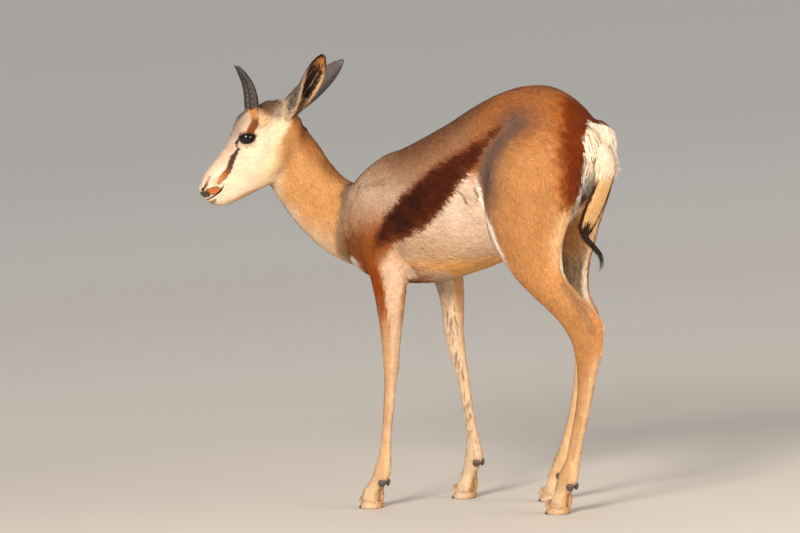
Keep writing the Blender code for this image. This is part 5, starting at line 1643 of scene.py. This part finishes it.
def finish(name):
    """The named finish: a Principled material whose colour is the tint
    attribute with streaks of noise, and whose bump has the same noise."""
    made = bpy.data.materials.get(name)
    if made:
        return made
    scale, amount, strength, depth, values = FINISHES[name]
    made, tree, shader = new_material(name)
    tint = add_node(tree, "Attribute", {"attribute_name": "tint"}, {}, {})
    place = add_node(tree, "TexCoord", {}, {}, {})
    streaks = add_node(tree, "Group", {"node_tree": noise_group()}, {"Scale": scale, "Amount": amount},
                       {"Vector": place.outputs["Object"], "Color": tint.outputs["Color"]})
    tree.links.new(streaks.outputs["Color"], shader.inputs["Base Color"])
    if strength > 0.0:
        bump = add_node(tree, "Bump", {}, {"Strength": strength, "Distance": depth},
                        {"Height": streaks.outputs["Height"]})
        tree.links.new(bump.outputs["Normal"], shader.inputs["Normal"])
    for socket, value in values.items():
        shader.inputs[socket].default_value = value
    return made


def claw_finish(name, upper):
    """Satin claw with growth bands: dark at the ground, and above that of
    the given colour, mixed by the height of the point."""
    made = bpy.data.materials.get(name)
    if made:
        return made
    made, tree, shader = new_material(name)
    place = add_node(tree, "TexCoord", {}, {}, {}).outputs["Object"]
    bands = add_node(tree, "TexWave", {"bands_direction": "Z"},
                     {"Scale": 170.0, "Distortion": 3.0, "Detail": 3.0}, {"Vector": place})
    ramp = add_node(tree, "ValToRGB", {}, {}, {"Fac": bands.outputs["Fac"]})
    ramp.color_ramp.elements[0].color = (0.030, 0.022, 0.018, 1.0)
    ramp.color_ramp.elements[1].color = (0.10, 0.070, 0.050, 1.0)
    split = add_node(tree, "SeparateXYZ", {}, {}, {"Vector": place})
    rise = add_node(tree, "MapRange", {}, {"From Min": 0.004, "From Max": 0.011},
                    {"Value": split.outputs["Z"]})
    both = add_node(tree, "Mix", {"data_type": "RGBA"}, {"B": (*upper, 1.0)},
                    {"Factor": rise.outputs["Result"], "A": ramp.outputs["Color"]})
    bump = add_node(tree, "Bump", {}, {"Strength": 0.3, "Distance": 0.0005},
                    {"Height": bands.outputs["Fac"]})
    tree.links.new(both.outputs["Result"], shader.inputs["Base Color"])
    tree.links.new(bump.outputs["Normal"], shader.inputs["Normal"])
    shader.inputs["Roughness"].default_value = 0.45
    return made


def make_skin():
    """One surface over head, neck, trunk and legs."""
    fields = skin_fields()
    mesh = even_mesh("skin", fields["points"], fields["triangles"])
    tinted(mesh, coat_tint(fields["points"], fields["normals"]) * 0.85)
    piece("skin", mesh, "coat", "hide", *FLESH)


def around_trunk(points):
    """Turn about the trunk's middle line and place along it."""
    x, y, z = points.T
    return np.stack([turn_part(x, z - 0.60), (y + 0.24) / 0.66], axis=1)


def around_head(points):
    """Turn about the head's middle line and place along it."""
    u, v, s = in_head(points).T
    return np.stack([turn_part(s, v - 0.01), (u + 0.06) / 0.28], axis=1)


def around_neck(points):
    """Turn about the neck's middle line and place along it."""
    from_base = points - np.array(NECK_CUT)
    up = from_base @ unit(np.array(NECK_CUT_ALONG))
    x, y = from_base[:, 0], from_base[:, 1] + 0.35 * from_base[:, 2]
    return np.stack([turn_part(x, y), up / 0.30 + 0.05], axis=1)


def around_leg(points):
    """Turn about the leg's middle at each height, and the height."""
    steps = np.linspace(points[:, 2].min(), points[:, 2].max(), 40)
    middles = []
    for low, high in zip(steps[:-1], steps[1:]):
        near = points[(points[:, 2] >= low) & (points[:, 2] <= high)]
        middles.append(near[:, :2].mean(axis=0) if len(near) else middles[-1])
    middles = np.array(middles)
    heights = (steps[:-1] + steps[1:]) / 2.0
    x = points[:, 0] - np.interp(points[:, 2], heights, middles[:, 0])
    y = points[:, 1] - np.interp(points[:, 2], heights, middles[:, 1])
    span = max(steps[-1] - steps[0], 1e-6)
    return np.stack([turn_part(y, x), (points[:, 2] - steps[0]) / span], axis=1)


def halved(unwrap, left):
    """The left or right half of an unwrap, stretched over the whole."""
    def whole(points):
        place = unwrap(points)
        place[:, 0] = place[:, 0] * 2.0 - 1.0 if left else place[:, 0] * 2.0
        return place
    return whole


def make_coat():
    """Tufts over the whole skin, in pieces by region."""
    fields = skin_fields()
    middles = fields["points"][fields["triangles"]].mean(axis=1)
    masks = regions(middles)
    left = middles[:, 0] > 0.0
    nose_left = in_head(middles)[:, 2] > 0.0
    plan = [("torso_coat_left", masks["torso"] & left, halved(around_trunk, True), 3.4),
            ("torso_coat_right", masks["torso"] & ~left, halved(around_trunk, False), 3.4),
            ("neck_coat", masks["neck"], around_neck, 3.4),
            ("head_coat_left", masks["head"] & nose_left, halved(around_head, True), 2.6),
            ("head_coat_right", masks["head"] & ~nose_left, halved(around_head, False), 2.6)]
    for leg, cover in (("foreleg", 2.8), ("hindleg", 3.0)):
        for side in SIDES:
            plan.append((leg + "_coat_" + side, masks[leg + "_" + side], around_leg, cover))
    for number, (name, mask, unwrap, cover) in enumerate(plan):
        coat_piece(name, mask, unwrap, number, cover)


def finished_claws():
    """Better material on the claws of the solids, with points, triangles
    and normals of the eight large ones in body coordinates."""
    work = bmesh.new()
    for name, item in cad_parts.items():
        if name.startswith("dewclaw_"):
            item.data.materials.clear()
            item.data.materials.append(claw_finish("dew_horn", (0.075, 0.052, 0.042)))
        if name.startswith("claw_"):
            item.data.materials.clear()
            item.data.materials.append(claw_finish("banded_claw", (0.48, 0.31, 0.17)))
            work.from_mesh(item.data)
    bmesh.ops.remove_doubles(work, verts=work.verts[:], dist=WELD)
    bmesh.ops.subdivide_edges(work, edges=work.edges[:], cuts=2, use_grid_fill=True)
    bmesh.ops.triangulate(work, faces=work.faces[:])
    points, triangles = arrays_of_work(work)
    return points - SET, triangles, point_normals(points - SET, triangles)


def make_claws():
    """The claws, and short hair that hangs over their upper part as diamond
    tufts m +- w/2 along the way down."""
    points, triangles, normals = finished_claws()
    owner, from_middle = nearest_foot(points)
    outward = normals[:, 0] * np.sign(from_middle[:, 0])
    toe = ease(-0.004, -0.018, from_middle[:, 1])
    hairy = ease(0.0030, 0.0055, points[:, 2] - 0.0065 * toe) * ease(-0.5, -0.1, outward)
    hairy = hairy * ease(0.9, 0.6, np.abs(normals[:, 2]))
    fields = {"points": points, "triangles": triangles, "hairy": hairy,
              "length": np.full(len(points), CLAW_HAIR)}
    draw = draws(DRAWS["claws"])
    corners, shares = scattered(fields, np.arange(len(triangles)), 4.0, draw)
    root = blend(points, corners, shares)
    normal = unit(blend(normals, corners, shares))
    down = square_to(np.array([0.0, -0.15, -1.0]), normal)
    way = swung(down, normal, draw.normal(0.0, 9.0, len(root)))
    room = np.maximum(root[:, 2], 0.0012)
    length = np.minimum(CLAW_HAIR * draw.uniform(0.7, 1.15, len(root)), room)
    turn = turn_part(from_middle[:, 1], from_middle[:, 0])
    unwrap = blend(np.stack([(turn + owner) / len(FEET), points[:, 2] / 0.03], axis=1), corners, shares)
    mesh = tuft_mesh("claw_coat", root, normal, way, length, tuft_width(length), np.full(len(root), 4.0),
                     coat_tint(root, normal), unwrap, draw, 0.04)
    piece("claw_coat", mesh, "coat", "tufts")


def view_axes():
    """The camera's place and its axes to the right, up and back."""
    turn, rise, roll = (math.radians(v) for v in (VIEW_TURN, VIEW_RISE, VIEW_ROLL))
    back = np.array([math.cos(turn) * math.cos(rise), math.sin(turn) * math.cos(rise), math.sin(rise)])
    flat = np.array([-math.sin(turn), math.cos(turn), 0.0])
    level = np.cross(back, flat)
    right = flat * math.cos(roll) - level * math.sin(roll)
    up = flat * math.sin(roll) + level * math.cos(roll)
    place = (np.array(VIEW_AIM) + back * VIEW_FAR
             - right * (VIEW_AIM_PIXEL[0] - PICTURE[0] / 2.0) / VIEW_SCALE
             + up * (VIEW_AIM_PIXEL[1] - PICTURE[1] / 2.0) / VIEW_SCALE)
    return place, right, up, back


def set_up(name, data, at, axes):
    """The data as an object at a place in body coordinates, with its own
    axes along the given ones."""
    item = in_scene(name, data)
    matrix = np.eye(4)
    matrix[:3, :3] = np.stack(axes, axis=1)
    matrix[:3, 3] = at + SET
    item.matrix_world = Matrix(matrix.tolist())
    return item


# Soft lights, aimed at the springbok's middle: way from there to the right,
# back and up as the camera sees it, size, power and colour
LIGHT_AIM = (0.02, 0.05, 0.48)
LIGHTS = (("key", (-1.9, 4.0, 1.7), 1.5, 270.0, (1.0, 0.89, 0.76)),
          ("fill", (3.0, 2.6, 0.7), 2.4, 130.0, (1.0, 0.91, 0.80)),
          ("top", (-0.6, -1.8, 2.8), 2.4, 24.0, (1.0, 0.95, 0.92)))
FLOOR_HALF = 60.0
# floor colour near and far: the far one is painted paler in place of light
FLOOR_NEAR = (0.54, 0.50, 0.46, 1.0)
FLOOR_FAR = (0.93, 0.90, 0.86, 1.0)
SENSOR = 36.0


def make_floor():
    """A wide square floor that grows paler with the distance, painted paler far away in place of the light
    that falls off there.
    """
    points = np.array([[-1.0, -1.0, 0.0], [1.0, -1.0, 0.0], [1.0, 1.0, 0.0], [-1.0, 1.0, 0.0]]) * FLOOR_HALF
    mesh = even_mesh("floor", points, np.arange(4).reshape(1, 4))
    floor = in_scene("floor", mesh)
    made, tree, shader = new_material("floor")
    place = add_node(tree, "TexCoord", {}, {}, {})
    reach = tree.nodes.new("ShaderNodeVectorMath")
    reach.operation = "LENGTH"
    tree.links.new(place.outputs["Object"], reach.inputs[0])
    fade = add_node(tree, "MapRange", {}, {"From Min": 1.5, "From Max": 6.0},
                    {"Value": reach.outputs["Value"]})
    both = add_node(tree, "Mix", {"data_type": "RGBA"}, {"A": FLOOR_NEAR, "B": FLOOR_FAR},
                    {"Factor": fade.outputs["Result"]})
    tree.links.new(both.outputs["Result"], shader.inputs["Base Color"])
    shader.inputs["Roughness"].default_value = 0.9
    mesh.materials.append(made)


def make_stage():
    """Pale floor, soft lights, pale world and the camera at the photo's
    angle."""
    make_floor()
    world = bpy.data.worlds.new("studio")
    bpy.context.scene.world = world
    world.use_nodes = True
    world.node_tree.nodes["Background"].inputs["Color"].default_value = (0.97, 0.96, 0.94, 1.0)
    world.node_tree.nodes["Background"].inputs["Strength"].default_value = 0.42
    place, right, up, back = view_axes()
    aim = np.array(LIGHT_AIM)
    for name, (to_right, to_back, to_top), size, power, tint in LIGHTS:
        data = bpy.data.lights.new(name, "AREA")
        data.size = size
        data.energy = power
        data.color = tint
        at = aim + right * to_right + back * to_back + up * to_top
        out = unit(at - aim)
        level = unit(np.cross((0.0, 0.0, 1.0), out))
        set_up(name, data, at, (level, np.cross(out, level), out))
    data = bpy.data.cameras.new("camera")
    data.sensor_width = SENSOR
    data.lens = SENSOR * VIEW_SCALE * VIEW_FAR / PICTURE[0]
    data.clip_end = 200.0
    bpy.context.scene.camera = set_up("camera", data, place, (right, up, back))
    bpy.context.scene.view_settings.view_transform = "Standard"


class SPRINGBOK_OT_skin(bpy.types.Operator):
    """Merge the flesh solids into one skin with lids, nostrils and lips"""

    bl_idname = "springbok.skin"
    bl_label = "Skin"

    def execute(self, context):
        make_skin()
        return {"FINISHED"}


class SPRINGBOK_OT_coat(bpy.types.Operator):
    """Grow the tufts of the coat on the skin"""

    bl_idname = "springbok.coat"
    bl_label = "Coat"

    def execute(self, context):
        make_coat()
        return {"FINISHED"}


class SPRINGBOK_OT_ears(bpy.types.Operator):
    """Make both ears with their hair"""

    bl_idname = "springbok.ears"
    bl_label = "Ears"

    def execute(self, context):
        for row in EARS:
            make_ear(row)
        return {"FINISHED"}


class SPRINGBOK_OT_tail(bpy.types.Operator):
    """Make the tail with its hair and end tuft"""

    bl_idname = "springbok.tail"
    bl_label = "Tail"

    def execute(self, context):
        make_tail()
        return {"FINISHED"}


class SPRINGBOK_OT_eyes(bpy.types.Operator):
    """Make the eyes and their lashes"""

    bl_idname = "springbok.eyes"
    bl_label = "Eyes"

    def execute(self, context):
        for name, side in SIDES.items():
            make_eye("eye_" + name, side)
        make_lashes()
        return {"FINISHED"}


class SPRINGBOK_OT_horns(bpy.types.Operator):
    """Make the ringed horns and finish the claws"""

    bl_idname = "springbok.horns"
    bl_label = "Horns and claws"

    def execute(self, context):
        for name, side in SIDES.items():
            make_horn("horn_" + name, side)
        make_claws()
        return {"FINISHED"}


class SPRINGBOK_OT_stage(bpy.types.Operator):
    """Set up the floor, lights and camera"""

    bl_idname = "springbok.stage"
    bl_label = "Stage"

    def execute(self, context):
        make_stage()
        return {"FINISHED"}


STEPS = (SPRINGBOK_OT_skin, SPRINGBOK_OT_coat, SPRINGBOK_OT_ears, SPRINGBOK_OT_tail,
         SPRINGBOK_OT_eyes, SPRINGBOK_OT_horns, SPRINGBOK_OT_stage)


class SPRINGBOK_PT_panel(bpy.types.Panel):
    """Colours, sizes and steps of the springbok"""

    bl_label = "Springbok"
    bl_idname = "SPRINGBOK_PT_panel"
    bl_space_type = "VIEW_3D"
    bl_region_type = "UI"
    bl_category = "Springbok"

    def draw(self, context):
        column = self.layout.column(align=True)
        for group in (context.scene.springbok_colours, context.scene.springbok_sizes):
            for name in group.bl_rna.properties.keys():
                if name not in ("rna_type", "name"):
                    column.prop(group, name)
        for step in STEPS:
            column.operator(step.bl_idname)


CLASSES = (SPRINGBOK_colours, SPRINGBOK_sizes) + STEPS + (SPRINGBOK_PT_panel,)


def register():
    """The classes and the scene's values made known."""
    for made in CLASSES:
        bpy.utils.register_class(made)
    bpy.types.Scene.springbok_colours = bpy.props.PointerProperty(type=SPRINGBOK_colours)
    bpy.types.Scene.springbok_sizes = bpy.props.PointerProperty(type=SPRINGBOK_sizes)


def unregister():
    """The classes and the scene's values taken out."""
    del bpy.types.Scene.springbok_colours
    del bpy.types.Scene.springbok_sizes
    for made in reversed(CLASSES):
        bpy.utils.unregister_class(made)


def main():
    """The steps in order."""
    register()
    bpy.ops.springbok.skin()
    bpy.ops.springbok.coat()
    bpy.ops.springbok.ears()
    bpy.ops.springbok.tail()
    bpy.ops.springbok.eyes()
    bpy.ops.springbok.horns()
    bpy.ops.springbok.stage()
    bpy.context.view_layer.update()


if __name__ == "__main__":
    main()
